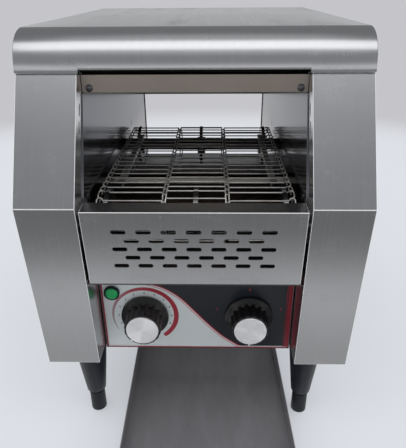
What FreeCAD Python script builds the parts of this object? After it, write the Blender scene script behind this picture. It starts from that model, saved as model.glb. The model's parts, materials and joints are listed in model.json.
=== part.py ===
import FreeCAD, Part
import math
import os
import Sketcher
from FreeCAD import Placement, Rotation, Vector

# A conveyor toaster: bread rides a wire belt through a heated tunnel, drops behind the
# belt onto a chute and slides out under the controls onto a tray.
# +X is the toaster's right as seen from the front, +Y its back, +Z up. The origin is on the
# table, in the middle of the length from the tray's front rim to the cable gland's end.

SIZES = {
    # Casing
    "half_length": 284,
    "gland_reach": 14,
    "body_depth": 418,
    "hood_width": 288,
    "hood_top": 387,
    "hood_drop": 32.5,
    "hood_bend": 31.5,
    "hood_rear_bend": 5,
    "sheet": 1,
    "casing_inset": 0.5,
    "casing_bottom": 90,
    "column_width": 49.5,
    "knee_reach": 52,
    "knee_height": 259.5,
    "facet_setback": 2,
    "foot_setback": 11,
    "strip_top_width": 24,
    "strip_width": 33,
    "strip_low_width": 44,
    "rear_flange": 14,
    "seat_gap": 0.3,
    "overrun": 3,
    # Slits in the inner strips
    "slit_width": 2.6,
    "slit_rise": 9,
    "slit_run": 4.6,
    "slit_setback": 10,
    "high_slit_drop": 32.5,
    "low_slit_drop": 45.5,
    # Side vents
    "vent_length": 34,
    "vent_width": 3.2,
    "vent_spacing": 10,
    "vent_height": 118,
    "vent_inset": 210,
    # Inner walls
    "crease_foot_drop": 2.5,
    "crease_foot_back": 25,
    "crease_top_back": 61.7,
    "wall_slot_rise": 7,
    "wall_slot_run": 2,
    "wall_slot_back": 283,
    "wall_slot_drop": 5.5,
    # Fascia under the hood
    "fascia_back": 64,
    "fascia_height": 15,
    "fascia_shadow_gap": 2.5,
    "fascia_flange": 12,
    # Rear opening
    "opening_side_gap": 2,
    "opening_bottom": 166,
    "opening_top": 264,
    # Front guard
    "guard_side_gap": 3.25,
    "guard_proud": 3.6,
    "guard_lean": 5.8,
    "guard_rise": 71,
    "guard_flange": 16,
    "guard_slot_length": 12.5,
    "guard_slot_width": 3.2,
    "guard_slot_pitch": 20.4,
    "guard_end_room": 23,
    "guard_row_pitch": 8.33,
    "guard_first_row": 19.3,
    # Control panel and its box
    "panel_setback": 39.3,
    "panel_height": 103,
    "ledge_height": 187,
    "overlay_thickness": 0.5,
    "overlay_margin": 1.2,
    "box_depth": 58,
    "deck_rear_drop": 10,
    "drop_gap": 119,
    # Controls
    "knob_inset": 43,
    "knob_drop": 61,
    "knob_gap": 0.7,
    "skirt_radius": 23.2,
    "skirt_thickness": 3,
    "skirt_slope": 2.4,
    "grip_root_radius": 18.6,
    "grip_radius": 17.5,
    "grip_length": 21.3,
    "grip_chamfer": 1,
    "flute_radius": 2.4,
    "flute_centre": 19,
    "cap_radius": 15.35,
    "cap_thickness": 3.4,
    "cap_chamfer": 0.8,
    "spindle_radius": 3,
    "spindle_reach": 15.5,
    "spindle_tail": 14,
    "knob_bore_depth": 16,
    "knob_hollow_radius": 9.5,
    "knob_hollow_depth": 6,
    "bush_radius": 5,
    "bush_reach": 4,
    "nut_width": 14,
    "nut_thickness": 2.4,
    "control_size": 30,
    "control_depth": 24,
    "selector_depth": 34,
    "fit_clearance": 0.05,
    "hole_clearance": 0.15,
    # Pilot lamp
    "lamp_inset": 12.2,
    "lamp_drop": 34,
    "bezel_radius": 7.6,
    "bezel_reach": 3,
    "bezel_wall": 1.5,
    "lens_reach": 5,
    "lens_bevel": 1.2,
    "lamp_body_radius": 5.6,
    "lamp_body_length": 24,
    # Chute
    "chute_front_setback": 118,
    "chute_front_height": 34,
    "chute_lip": 12,
    # Conveyor
    "belt_pitch": 11.95,
    "belt_rear_room": 140,
    "belt_side_gap": 4.3,
    "shaft_setback": 59,
    "shaft_rise": 39,
    "shaft_radius": 6,
    "shaft_tail": 5,
    "wire_radius": 0.7,
    "link_inner": 26.9,
    "link_outer": 29.9,
    "link_dip": 2.1,
    "link_flat": 2.2,
    "link_dip_end": 4.6,
    "link_end": 0.6,
    "middle_setback": 2.4,
    "loop_width": 5.9,
    "loop_neck": 3.9,
    "loop_bevel": 1.2,
    "loop_hook": 2.4,
    "loop_arch": 2.6,
    "loop_shoulder": 0.8,
    "loop_turn": 6.5,
    "loop_return": 4.6,
    "loop_return_dip": 1.9,
    "loop_tip": 1,
    "sprocket_inset": 8.4,
    "sprocket_width": 4,
    "sprocket_tip": 1.5,
    "sprocket_gap": 0.4,
    "tooth_flare": 2.3,
    "hub_radius": 11,
    "hub_width": 10,
    "rail_inset": 17.4,
    "rail_width": 6,
    "rail_depth": 5,
    "rail_sheet": 1.2,
    "rail_clearance": 26,
    "cross_bar_width": 12,
    "cross_bar_thickness": 3,
    "bush_flange_radius": 12,
    "bush_flange_thickness": 3,
    "bush_spigot_radius": 8.5,
    # Heating
    "tube_radius": 5,
    "tube_wall": 1,
    "upper_tube_drop": 22,
    "upper_tube_setback": 60,
    "upper_tube_rear_room": 25.1,
    "lower_tube_drop": 5,
    "end_cap_radius": 6.5,
    "end_cap_flange_radius": 8.5,
    "end_cap_flange": 2,
    "end_cap_reach": 8,
    "end_cap_tail": 7,
    "tube_seat": 5,
    "stud_radius": 1.6,
    "stud_length": 7,
    "upper_reflector_drop": 13.5,
    "upper_reflector_skirt": 8,
    "upper_reflector_slope": 14,
    "upper_reflector_margin": 34,
    "lower_reflector_drop": 19,
    "lower_reflector_skirt": 7,
    "lower_reflector_slope": 9,
    # Chain drive
    "chain_pitch": 6.35,
    "chain_stand": 34,
    "motor_lean": 24,
    "motor_room": 47,
    "roller_radius": 1.65,
    "pin_radius": 0.9,
    "pin_bore_radius": 1.15,
    "pin_half_length": 3.6,
    "plate_height": 5.8,
    "inner_plate_offset": 1.65,
    "outer_plate_offset": 2.6,
    "plate_thickness": 0.75,
    "chain_sprocket_width": 2.8,
    "chain_sprocket_tip": 1.6,
    "chain_sprocket_gap": 0.25,
    "shaft_hub_radius": 11,
    "motor_hub_radius": 7,
    "chain_hub_length": 7,
    # Gear motor
    "bracket_stand": 7,
    "bracket_sheet": 1.5,
    "bracket_height": 66,
    "bracket_length": 60,
    "motor_radius": 25,
    "motor_depth": 17,
    "motor_boss_radius": 9,
    "motor_boss_depth": 3,
    "motor_shaft_radius": 3.5,
    "motor_shaft_tail": 10,
    "motor_shaft_overhang": 6,
    # Cooling fan
    "fan_size": 80,
    "fan_depth": 25,
    "fan_height": 150,
    "fan_bore_radius": 38,
    "fan_hub_radius": 15,
    "fan_strut_width": 6,
    "fan_strut_depth": 3,
    "fan_pin_radius": 2,
    "fan_blade_reach": 36,
    "fan_blade_sheet": 1.6,
    "fan_blade_twist": 13,
    "fan_rotor_depth": 18,
    # Legs, feet and tray
    "leg_inset": 16,
    "front_leg_setback": 12,
    "rear_leg_inset": 40,
    "leg_bottom": 27.5,
    "leg_bottom_radius": 10,
    "leg_top_radius": 16.3,
    "leg_chamfer": 2,
    "stem_radius": 4,
    "stem_length": 20,
    "stem_room": 5,
    "foot_radius": 8,
    "foot_chamfer": 1.3,
    "tray_side_room": 25,
    "tray_length": 298,
    "tray_height": 18,
    "tray_sheet": 1,
    "tray_offset": 13,
    "tray_turn": 1.1,
    # Supply
    "gland_inset": 23.5,
    "gland_height": 112,
    "gland_bore_radius": 4,
    "gland_thread_radius": 8,
    "gland_flange_radius": 11,
    "gland_flange_thickness": 4,
    "gland_tip_radius": 7.5,
    "gland_tail": 9,
    "terminal_length": 44,
    "terminal_width": 18,
    "terminal_height": 16,
    "terminal_gap": 60,
    # Screws
    "screw_radius": 1.5,
    "screw_length": 5,
    "head_radius": 3.1,
    "head_height": 1.4,
    "screw_inset": 7,
    "wall_screw_setback": 13,
    "wall_screw_drop": 5.5,
    "fascia_screw_inset": 6,
    "fascia_screw_rise": 4,
}

# Counts, shares and turns in degrees
BELT_TEETH = 12
SHAFT_TEETH = 20
MOTOR_TEETH = 12
FLUTES = 16
BLADES = 7
GUARD_LONG_ROWS = 3
VENTS = 9
UPPER_TUBES = 3
LOWER_TUBE_SHARE = 0.44
LOWER_REFLECTOR_SHARE = 0.223
REAR_SCREW_SHARES = (0.04, 0.34, 0.66, 0.96)
QUARTER_TURN = 90
HALF_TURN = 180
FULL_TURN = 360

doc = FreeCAD.newDocument("conveyor_toaster")
sheet = doc.addObject("Spreadsheet::Sheet", "sizes")
for row, (alias, number) in enumerate(SIZES.items(), start=1):
    sheet.set(f"A{row}", alias)
    sheet.set(f"B{row}", str(number))
    sheet.setAlias(f"B{row}", alias)
doc.recompute()


class Length:
    """A size in the sheet's own terms, with what it measures now."""

    def __init__(self, text, value):
        self.text = text
        self.value = value

    def join(self, sign, other, value):
        return Length(f"({self.text} {sign} {other.text})", value)

    def __add__(self, other):
        other = as_length(other)
        return self.join("+", other, self.value + other.value)

    def __radd__(self, other):
        return as_length(other) + self

    def __sub__(self, other):
        other = as_length(other)
        return self.join("-", other, self.value - other.value)

    def __rsub__(self, other):
        return as_length(other) - self

    def __mul__(self, other):
        other = as_length(other)
        return self.join("*", other, self.value * other.value)

    def __rmul__(self, other):
        return as_length(other) * self

    def __truediv__(self, other):
        other = as_length(other)
        return self.join("/", other, self.value / other.value)

    def __neg__(self):
        return as_length(0) - self


def as_length(item):
    return item if isinstance(item, Length) else Length(str(item), float(item))


def root(item):
    return Length(f"sqrt({item.text})", math.sqrt(item.value))


def sine(angle):
    return Length(f"sin({angle.text})", math.sin(math.radians(angle.value)))


def cosine(angle):
    return Length(f"cos({angle.text})", math.cos(math.radians(angle.value)))


def slant(rise, run):
    """The angle of a slope, in degrees."""
    angle = math.degrees(math.atan2(rise.value, run.value))
    return Length(f"(atan({rise.text} / {run.text}) / 1 deg)", angle)


class Sheet:
    """Reads any size of the sheet by its alias."""

    def __getattr__(self, alias):
        return Length(f"sizes.{alias}", float(sheet.get(alias)))


size = Sheet()
ZERO = as_length(0)


def bind(item, path, length):
    item.setExpression(path, as_length(length).text)


def place(item, x=ZERO, y=ZERO, z=ZERO, axis=None, turn=0):
    """Puts an object at a bound place, turned about an axis by a plain or bound angle."""
    angle = turn.value if isinstance(turn, Length) else turn
    spin = Rotation(Vector(*axis), angle) if axis else Rotation()
    item.Placement = Placement(Vector(), spin)
    for path, length in (("x", x), ("y", y), ("z", z)):
        bind(item, f"Placement.Base.{path}", length)
    if isinstance(turn, Length):
        bind(item, "Placement.Rotation.Angle", turn)
    return item


PLANES = {"x": "YZ_Plane", "y": "XZ_Plane", "z": "XY_Plane"}


def origin_feature(body, role):
    return next(item for item in body.Origin.OriginFeatures if item.Role == role)


def sketch_on(body, facing, level):
    """A sketch facing X, Y or Z at that level. The sketch that faces Y looks towards -Y."""
    sketch = body.newObject("Sketcher::SketchObject", "sketch")
    sketch.AttachmentSupport = [(origin_feature(body, PLANES[facing]), "")]
    sketch.MapMode = "FlatFace"
    level = as_length(level)
    bind(sketch, "AttachmentOffset.Base.z", -level if facing == "y" else level)
    return sketch


def pin_point(sketch, edge, end, across, up):
    """Fixes a sketch point at a bound distance from the origin."""
    across = as_length(across)
    up = as_length(up)
    for kind, length in (("DistanceX", across), ("DistanceY", up)):
        index = sketch.addConstraint(Sketcher.Constraint(kind, -1, 1, edge, end, length.value))
        sketch.setExpression(f"Constraints[{index}]", length.text)


def direction(here, there):
    """The axis direction, as two signs, from one corner of a square outline to the next."""
    across = as_length(there[0]).value - as_length(here[0]).value
    up = as_length(there[1]).value - as_length(here[1]).value
    if abs(across) > abs(up):
        return (1 if across > 0 else -1, 0)
    return (0, 1 if up > 0 else -1)


def rounded_ends(points, index):
    """Where a rounded square corner starts and ends, and its centre."""
    here = points[index]
    before = direction(here, points[index - 1])
    after = direction(here, points[(index + 1) % len(points)])
    radius = here[2]
    start = (here[0] + radius * before[0], here[1] + radius * before[1])
    end = (here[0] + radius * after[0], here[1] + radius * after[1])
    centre = (start[0] + radius * after[0], start[1] + radius * after[1])
    return start, end, centre


def draw_arc(sketch, start, end, centre):
    """Adds a quarter arc and says which of its ends is the start."""
    flat = [Vector(as_length(p[0]).value, as_length(p[1]).value, 0) for p in (start, end, centre)]
    first = flat[0] - flat[2]
    last = flat[1] - flat[2]
    turns_left = first.x * last.y - first.y * last.x > 0
    if not turns_left:
        first, last = last, first
    circle = Part.Circle(flat[2], Vector(0, 0, 1), first.Length)
    angles = math.atan2(first.y, first.x), math.atan2(last.y, last.x)
    edge = sketch.addGeometry(Part.ArcOfCircle(circle, *angles), False)
    return edge, (1, 2) if turns_left else (2, 1)


def draw_outline(sketch, points):
    """A closed outline. A third item at a square corner is the radius that rounds it."""
    corners = []
    for index, point in enumerate(points):
        if len(point) == 3:
            corners.append(rounded_ends(points, index))
        else:
            corners.append((point, point, None))
    ends = []
    for index, (start, end, centre) in enumerate(corners):
        if centre:
            edge, order = draw_arc(sketch, start, end, centre)
            ends.append((edge, order))
            pin_point(sketch, edge, order[0], *start)
            pin_point(sketch, edge, order[1], *end)
            across = as_length(centre[0])
            index_x = sketch.addConstraint(
                Sketcher.Constraint("DistanceX", -1, 1, edge, 3, across.value))
            sketch.setExpression(f"Constraints[{index_x}]", across.text)
        following = corners[(index + 1) % len(corners)][0]
        first = Vector(as_length(end[0]).value, as_length(end[1]).value, 0)
        last = Vector(as_length(following[0]).value, as_length(following[1]).value, 0)
        line = sketch.addGeometry(Part.LineSegment(first, last), False)
        ends.append((line, (1, 2)))
        if not centre:
            pin_point(sketch, line, 1, *end)
    for index, (edge, order) in enumerate(ends):
        following, next_order = ends[(index + 1) % len(ends)]
        sketch.addConstraint(
            Sketcher.Constraint("Coincident", edge, order[1], following, next_order[0]))


def draw_circle(sketch, across, up, radius):
    middle = Vector(as_length(across).value, as_length(up).value, 0)
    edge = sketch.addGeometry(Part.Circle(middle, Vector(0, 0, 1), radius.value), False)
    pin_point(sketch, edge, 3, across, up)
    index = sketch.addConstraint(Sketcher.Constraint("Radius", edge, radius.value))
    sketch.setExpression(f"Constraints[{index}]", radius.text)


def draw_slot(sketch, across, up, length, width, upright=False):
    """A round-ended slot about a centre, lying or upright."""
    reach = (length - width) / 2
    radius = width / 2
    if upright:
        ends = ((across, up - reach), (across, up + reach))
        sides = ((radius, ZERO), (-radius, ZERO))
        start_angle = -math.pi
    else:
        ends = ((across - reach, up), (across + reach, up))
        sides = ((ZERO, -radius), (ZERO, radius))
        start_angle = math.pi / 2
    arcs = []
    for number, end in enumerate(ends):
        middle = Vector(as_length(end[0]).value, as_length(end[1]).value, 0)
        circle = Part.Circle(middle, Vector(0, 0, 1), radius.value)
        begin = start_angle + number * math.pi
        arc = sketch.addGeometry(Part.ArcOfCircle(circle, begin, begin + math.pi), False)
        arcs.append(arc)
        pin_point(sketch, arc, 3, *end)
    lines = []
    for side in sides:
        spots = [Vector(as_length(end[0] + side[0]).value, as_length(end[1] + side[1]).value, 0)
                 for end in ends]
        lines.append(sketch.addGeometry(Part.LineSegment(*spots), False))
    near, far = arcs
    for line, near_end, far_end in ((lines[0], 2, 1), (lines[1], 1, 2)):
        sketch.addConstraint(Sketcher.Constraint("Tangent", line, 1, near, near_end))
        sketch.addConstraint(Sketcher.Constraint("Tangent", line, 2, far, far_end))
    index = sketch.addConstraint(Sketcher.Constraint("Radius", near, radius.value))
    sketch.setExpression(f"Constraints[{index}]", radius.text)


def new_body(label):
    body = doc.addObject("PartDesign::Body", label)
    body.Label = label
    return body


def pad(body, facing, outline, low, high, holes=()):
    """Adds an extruded outline between two levels, less any round holes."""
    sketch = sketch_on(body, facing, high if facing == "y" else low)
    draw_outline(sketch, outline)
    for hole in holes:
        draw_circle(sketch, *hole)
    return grow(body, sketch, as_length(high) - low)


def disc(body, facing, across, up, radius, low, high):
    """Adds a round boss between two levels."""
    sketch = sketch_on(body, facing, high if facing == "y" else low)
    draw_circle(sketch, across, up, radius)
    return grow(body, sketch, as_length(high) - low)


def grow(body, sketch, depth):
    feature = body.newObject("PartDesign::Pad", "pad")
    feature.Profile = sketch
    bind(feature, "Length", depth)
    doc.recompute()
    return feature


def sink(body, sketch, depth):
    """Cuts a sketch into the body and makes sure that something went."""
    before = body.Shape.Volume
    feature = body.newObject("PartDesign::Pocket", "pocket")
    feature.Profile = sketch
    bind(feature, "Length", depth)
    doc.recompute()
    if not body.Shape.Volume < before:
        raise RuntimeError(f"a cut in {body.Label} takes nothing away")
    return feature


def cut_sketch(body, facing, low, high):
    return sketch_on(body, facing, low if facing == "y" else high)


def carve(body, facing, outline, low, high):
    sketch = cut_sketch(body, facing, low, high)
    draw_outline(sketch, outline)
    return sink(body, sketch, as_length(high) - low)


def drill(body, facing, holes, low, high):
    sketch = cut_sketch(body, facing, low, high)
    for hole in holes:
        draw_circle(sketch, *hole)
    return sink(body, sketch, as_length(high) - low)


def box_outline(left, bottom, right, top):
    return [(left, bottom), (right, bottom), (right, top), (left, top)]


def repeat_row(body, feature, axis, count, length):
    """Repeats a cut along one of the body's axes."""
    pattern = body.newObject("PartDesign::LinearPattern", "row")
    pattern.Originals = [feature]
    pattern.Direction = (origin_feature(body, axis), [""])
    pattern.Occurrences = count
    bind(pattern, "Length", length)
    body.Tip = pattern
    doc.recompute()
    return pattern


def repeat_round(body, features, axis, count):
    pattern = body.newObject("PartDesign::PolarPattern", "ring")
    pattern.Originals = features
    pattern.Axis = (origin_feature(body, axis), [""])
    pattern.Occurrences = count
    pattern.Angle = FULL_TURN
    body.Tip = pattern
    doc.recompute()
    return pattern


TURNING = {"x": ("z", "H_Axis"), "y": ("x", "H_Axis"), "z": ("y", "V_Axis")}


def turned(label, along, profile):
    """A turned piece about X, Y or Z. The profile's points are distance along and radius."""
    body = new_body(label)
    facing, axis = TURNING[along]
    sketch = sketch_on(body, facing, ZERO)
    points = [(radius, reach) for reach, radius in profile] if along == "z" else profile
    draw_outline(sketch, points)
    feature = body.newObject("PartDesign::Revolution", "turning")
    feature.Profile = sketch
    feature.ReferenceAxis = (sketch, [axis])
    feature.Angle = FULL_TURN
    doc.recompute()
    return body


def copy_of(item, **spot):
    link = doc.addObject("App::Link", "copy")
    link.LinkedObject = item
    return place(link, **spot)


def group(label, items):
    """One node that holds several separate solids."""
    compound = doc.addObject("Part::Compound", label)
    compound.Label = label
    compound.Links = items
    return compound


def from_shapes(label, shapes):
    feature = doc.addObject("Part::Feature", label)
    feature.Label = label
    feature.Shape = Part.makeCompound(shapes)
    return feature


def span(side, near, far):
    """Low and high X of something between two distances out on one side."""
    return (near, far) if side > 0 else (-far, -near)


SIDES = {"left": -1, "right": 1}
nodes = []

# Main places that the pieces share
back = size.half_length - size.gland_reach
knee_y = back - size.body_depth
hood_front = knee_y + size.knee_reach
facet_y = hood_front + size.facet_setback
foot_y = knee_y + size.foot_setback
casing_top = size.hood_top - size.hood_drop
hood_half = size.hood_width / 2
side_x = hood_half - size.casing_inset
column_x = side_x - size.column_width
wall_x = column_x - size.sheet
inside_x = wall_x - size.seat_gap
skin_y = back - size.sheet
overlay_y = knee_y + size.panel_setback
panel_y = overlay_y + size.overlay_thickness
box_y = panel_y + size.sheet + size.box_depth
deck_rear = back - size.drop_gap
guard_z = size.ledge_height + size.seat_gap
guard_half = column_x - size.guard_side_gap
panel_bottom = size.ledge_height - size.panel_height
knob_x = column_x - size.knob_inset
knob_z = size.ledge_height - size.knob_drop
fascia_bottom = casing_top - size.fascia_shadow_gap - size.fascia_height
vent_y = back - size.vent_inset
gland_x = -(side_x - size.gland_inset)
leg_x = column_x + size.leg_inset
shaft_y = knee_y + size.shaft_setback
shaft_z = size.ledge_height + size.shaft_rise
belt_room = size.body_depth - size.shaft_setback - size.belt_rear_room
belt_spans = int(belt_room.value / size.belt_pitch.value)
belt_length = size.belt_pitch * belt_spans
rear_shaft_y = shaft_y + belt_length
belt_radius = size.belt_pitch / (2 * math.sin(math.pi / BELT_TEETH))
belt_edge = inside_x - size.belt_side_gap
strip_low_y = knee_y + size.strip_low_width
strip_y = knee_y + size.strip_width
strip_top_y = facet_y + size.strip_top_width


def hood():
    """The top cover: an open-bottomed pan with a large front bend."""
    body = new_body("hood")
    bend = size.hood_bend
    rear_bend = size.hood_rear_bend
    outline = [(hood_front, casing_top), (back, casing_top),
               (back, size.hood_top, rear_bend), (hood_front, size.hood_top, bend)]
    pad(body, "x", outline, -hood_half, hood_half)
    under = casing_top - size.overrun
    ceiling = size.hood_top - size.sheet
    inside = [(hood_front + size.sheet, under), (skin_y, under),
              (skin_y, ceiling, rear_bend - size.sheet),
              (hood_front + size.sheet, ceiling, bend - size.sheet)]
    carve(body, "x", inside, size.sheet - hood_half, hood_half - size.sheet)
    return body


def slit(height):
    """A slanted slit in the inner strip, along the slope of the upper facet."""
    slope = (facet_y - knee_y) / (casing_top - size.knee_height)
    edge = knee_y + (height - size.knee_height) * slope + size.slit_setback
    top = edge + size.slit_run
    return [(edge, height), (edge + size.slit_width, height),
            (top + size.slit_width, height + size.slit_rise), (top, height + size.slit_rise)]


def rear_screw_heights():
    rise = casing_top - size.casing_bottom
    return [size.casing_bottom + rise * share for share in REAR_SCREW_SHARES]


screw_hole = size.screw_radius + size.hole_clearance
rear_screw_x = side_x - size.screw_inset


def side_panel(name, side):
    """A column of the casing: outer skin, front facets, inner strip and rear flange."""
    body = new_body(f"{name}_side_panel")
    s = size.sheet
    outline = [(facet_y, casing_top), (knee_y, size.knee_height), (foot_y, size.casing_bottom),
               (skin_y, size.casing_bottom), (skin_y, casing_top)]
    pad(body, "x", outline, *span(side, column_x, side_x))
    floor = size.casing_bottom + s
    ceiling = casing_top - s
    hollow = [(facet_y + s, ceiling), (knee_y + s, size.knee_height), (foot_y + s, floor),
              (skin_y - s, floor), (skin_y - s, ceiling)]
    carve(body, "x", hollow, *span(side, column_x + s, side_x - s))
    behind = [(strip_top_y, ceiling), (strip_y, size.knee_height - size.crease_foot_drop),
              (strip_y, guard_z), (strip_low_y, guard_z),
              (strip_low_y, floor), (skin_y - s, floor), (skin_y - s, ceiling)]
    carve(body, "x", behind, *span(side, column_x - size.overrun, column_x + s))
    left, right = span(side, column_x - size.overrun, side_x - size.rear_flange)
    carve(body, "y", box_outline(left, floor, right, ceiling), skin_y - s, skin_y)
    for drop in (size.high_slit_drop, size.low_slit_drop):
        cut = slit(casing_top - drop)
        carve(body, "x", cut, *span(side, column_x - size.overrun, column_x + s))
    low, high = span(side, side_x - s, side_x)
    sketch = cut_sketch(body, "x", low, high)
    first_vent = vent_y - size.vent_spacing * (VENTS - 1) / 2
    draw_slot(sketch, first_vent, size.vent_height, size.vent_length, size.vent_width, True)
    vent = sink(body, sketch, s)
    repeat_row(body, vent, "Y_Axis", VENTS, size.vent_spacing * (VENTS - 1))
    holes = [(side * rear_screw_x, height, screw_hole) for height in rear_screw_heights()]
    drill(body, "y", holes, skin_y - s, skin_y)
    return body


def inner_wall_outline():
    top = casing_top - size.sheet
    crease_top = knee_y + size.crease_top_back
    fascia_y = knee_y + size.fascia_back
    front = knee_y + size.crease_foot_back
    crease_foot = size.knee_height - size.crease_foot_drop
    behind_panel = panel_y + size.sheet + size.seat_gap
    return [(fascia_y + size.sheet + size.seat_gap, top),
            (fascia_y + size.sheet + size.seat_gap, fascia_bottom),
            (crease_top, fascia_bottom),
            (front, crease_foot), (front, guard_z), (behind_panel, guard_z),
            (behind_panel, size.casing_bottom), (skin_y, size.casing_bottom), (skin_y, top)]


def upper_tube_places():
    first = shaft_y + size.upper_tube_setback
    spacing = (rear_shaft_y - size.upper_tube_rear_room - first) / (UPPER_TUBES - 1)
    return [(first + spacing * number, casing_top - size.upper_tube_drop)
            for number in range(UPPER_TUBES)]


def lower_tube_place():
    return shaft_y + belt_length * LOWER_TUBE_SHARE, shaft_z - size.lower_tube_drop


def shaft_places():
    return [(shaft_y, shaft_z), (rear_shaft_y, shaft_z)]


def wall_screw_place():
    return hood_front - size.wall_screw_setback, size.knee_height - size.wall_screw_drop


def inner_wall(name, side):
    """The tunnel's wall, which holds the shaft bushes and the heaters' end caps."""
    body = new_body(f"{name}_inner_wall")
    bush = size.bush_spigot_radius + size.hole_clearance
    cap = size.end_cap_radius + size.hole_clearance
    holes = [(y, z, bush) for y, z in shaft_places()]
    holes += [(y, z, cap) for y, z in upper_tube_places() + [lower_tube_place()]]
    holes.append((*wall_screw_place(), screw_hole))
    low, high = span(side, wall_x, column_x)
    pad(body, "x", inner_wall_outline(), low, high, holes)
    sketch = cut_sketch(body, "x", low, high)
    draw_slot(sketch, knee_y + size.wall_slot_back, size.knee_height - size.wall_slot_drop,
              size.wall_slot_rise, size.wall_slot_run, True)
    sink(body, sketch, size.sheet)
    return body


def ceiling_plate():
    """The flat plate over the tunnel, between the columns and under the hood."""
    body = new_body("ceiling_plate")
    half = column_x - size.seat_gap
    front = knee_y + size.fascia_back + size.sheet + size.seat_gap
    outline = box_outline(-half, front, half, skin_y)
    pad(body, "z", outline, casing_top - size.sheet, casing_top)
    return body


def front_fascia():
    """The narrow lip over the tunnel's mouth, with a flange behind its top and bottom."""
    body = new_body("front_fascia")
    s = size.sheet
    top = casing_top - size.fascia_shadow_gap
    front = knee_y + size.fascia_back
    half = column_x - size.seat_gap
    screws = [(side * (half - size.fascia_screw_inset), fascia_bottom + size.fascia_screw_rise,
               screw_hole) for side in (-1, 1)]
    pad(body, "y", box_outline(-half, fascia_bottom, half, top), front, front + s, screws)
    for low in (fascia_bottom, top - s):
        flange = box_outline(-inside_x, low, inside_x, low + s)
        pad(body, "y", flange, front + s, front + size.fascia_flange)
    return body


def rear_panel():
    """The flat back with the tunnel's rear opening, the gland's hole and vents."""
    body = new_body("rear_panel")
    holes = [(side * rear_screw_x, height, screw_hole)
             for side in (-1, 1) for height in rear_screw_heights()]
    holes.append((gland_x, size.gland_height, size.gland_thread_radius + size.hole_clearance))
    outline = box_outline(-side_x, size.casing_bottom, side_x, casing_top)
    pad(body, "y", outline, skin_y, back, holes)
    half = column_x - size.opening_side_gap
    opening = box_outline(-half, size.opening_bottom, half, size.opening_top)
    carve(body, "y", opening, skin_y, back)
    sketch = cut_sketch(body, "y", skin_y, back)
    middle = (column_x + side_x) / 2
    draw_slot(sketch, middle, size.vent_height, size.vent_length, size.vent_width)
    vent = sink(body, sketch, size.sheet)
    repeat_row(body, vent, "Z_Axis", VENTS, size.vent_spacing * (VENTS - 1))
    return body


def column_floor_plates():
    """A stiffening plate on each column's floor, over the legs."""
    plates = []
    for name, side in SIDES.items():
        body = new_body(f"{name}_floor_plate")
        low, high = span(side, column_x + size.sheet + size.seat_gap,
                         side_x - size.sheet - size.seat_gap)
        front = strip_low_y + size.seat_gap
        rear = skin_y - size.sheet - size.seat_gap
        floor = size.casing_bottom + size.sheet
        pad(body, "z", box_outline(low, front, high, rear), floor, floor + size.bracket_sheet)
        plates.append(body)
    return group("column_floor_plates", plates)


guard_y = knee_y + size.guard_proud


def front_guard():
    """The leaning perforated guard below the tunnel's mouth."""
    body = new_body("front_guard")
    s = size.sheet
    half = guard_half
    pad(body, "y", box_outline(-half, ZERO, half, size.guard_rise), ZERO, s)
    top = size.guard_rise
    pad(body, "y", box_outline(-half, top - s, half, top), s, size.guard_flange)
    for side in (-1, 1):
        low, high = span(side, half - s, half)
        pad(body, "y", box_outline(low, s, high, top - s), s, size.guard_flange / 2)
    pitch = size.guard_slot_pitch
    room = (half - size.guard_end_room) * 2
    most = int(room.value / pitch.value) + 1
    rows = ((most, ZERO, GUARD_LONG_ROWS),
            (most - 1, size.guard_row_pitch, GUARD_LONG_ROWS - 1))
    for slots, raised, count in rows:
        sketch = cut_sketch(body, "y", ZERO, s)
        first = -pitch * (slots - 1) / 2
        draw_slot(sketch, first, size.guard_first_row + raised,
                  size.guard_slot_length, size.guard_slot_width)
        feature = sink(body, sketch, s)
        across = body.newObject("PartDesign::LinearPattern", "across")
        across.Direction = (origin_feature(body, "X_Axis"), [""])
        across.Occurrences = slots
        bind(across, "Length", pitch * (slots - 1))
        up = body.newObject("PartDesign::LinearPattern", "up")
        up.Direction = (origin_feature(body, "Z_Axis"), [""])
        up.Occurrences = count
        bind(up, "Length", size.guard_row_pitch * 2 * (count - 1))
        field = body.newObject("PartDesign::MultiTransform", "slots")
        field.Originals = [feature]
        field.Transformations = [across, up]
        body.Tip = field
        doc.recompute()
    place(body, y=guard_y, z=guard_z, axis=(1, 0, 0),
          turn=slant(size.guard_lean, size.guard_rise))
    return body


knob_places = [(side * knob_x, knob_z) for side in (-1, 1)]
lamp_place = (-(column_x - size.lamp_inset), size.ledge_height - size.lamp_drop)


def panel_holes():
    bush = size.bush_radius + size.hole_clearance
    lamp = size.lamp_body_radius + size.hole_clearance
    return [(x, z, bush) for x, z in knob_places] + [(*lamp_place, lamp)]


def control_panel():
    """The face of the controls, with the ledge under the guard and the box's floor."""
    body = new_body("control_panel")
    s = size.sheet
    half = column_x - size.seat_gap
    pad(body, "y", box_outline(-half, panel_bottom, half, size.ledge_height),
        panel_y, panel_y + s, panel_holes())
    ledge = box_outline(-half, size.ledge_height - s, half, size.ledge_height)
    pad(body, "y", ledge, guard_y, panel_y)
    floor = box_outline(-half, panel_bottom, half, panel_bottom + s)
    pad(body, "y", floor, panel_y + s, box_y)
    return body


def panel_overlay():
    """The printed plate on the face of the controls."""
    body = new_body("panel_overlay")
    half = column_x - size.seat_gap - size.overlay_margin
    bottom = panel_bottom + size.overlay_margin
    top = size.ledge_height - size.sheet - size.seat_gap
    pad(body, "y", box_outline(-half, bottom, half, top), overlay_y, panel_y, panel_holes())
    return body


def control_box_back():
    """The plate that closes the box of the controls from behind."""
    body = new_body("control_box_back")
    bottom = panel_bottom + size.sheet
    top = size.ledge_height - size.seat_gap
    outline = box_outline(-inside_x, bottom, inside_x, top)
    pad(body, "y", outline, box_y - size.sheet, box_y)
    return body


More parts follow.
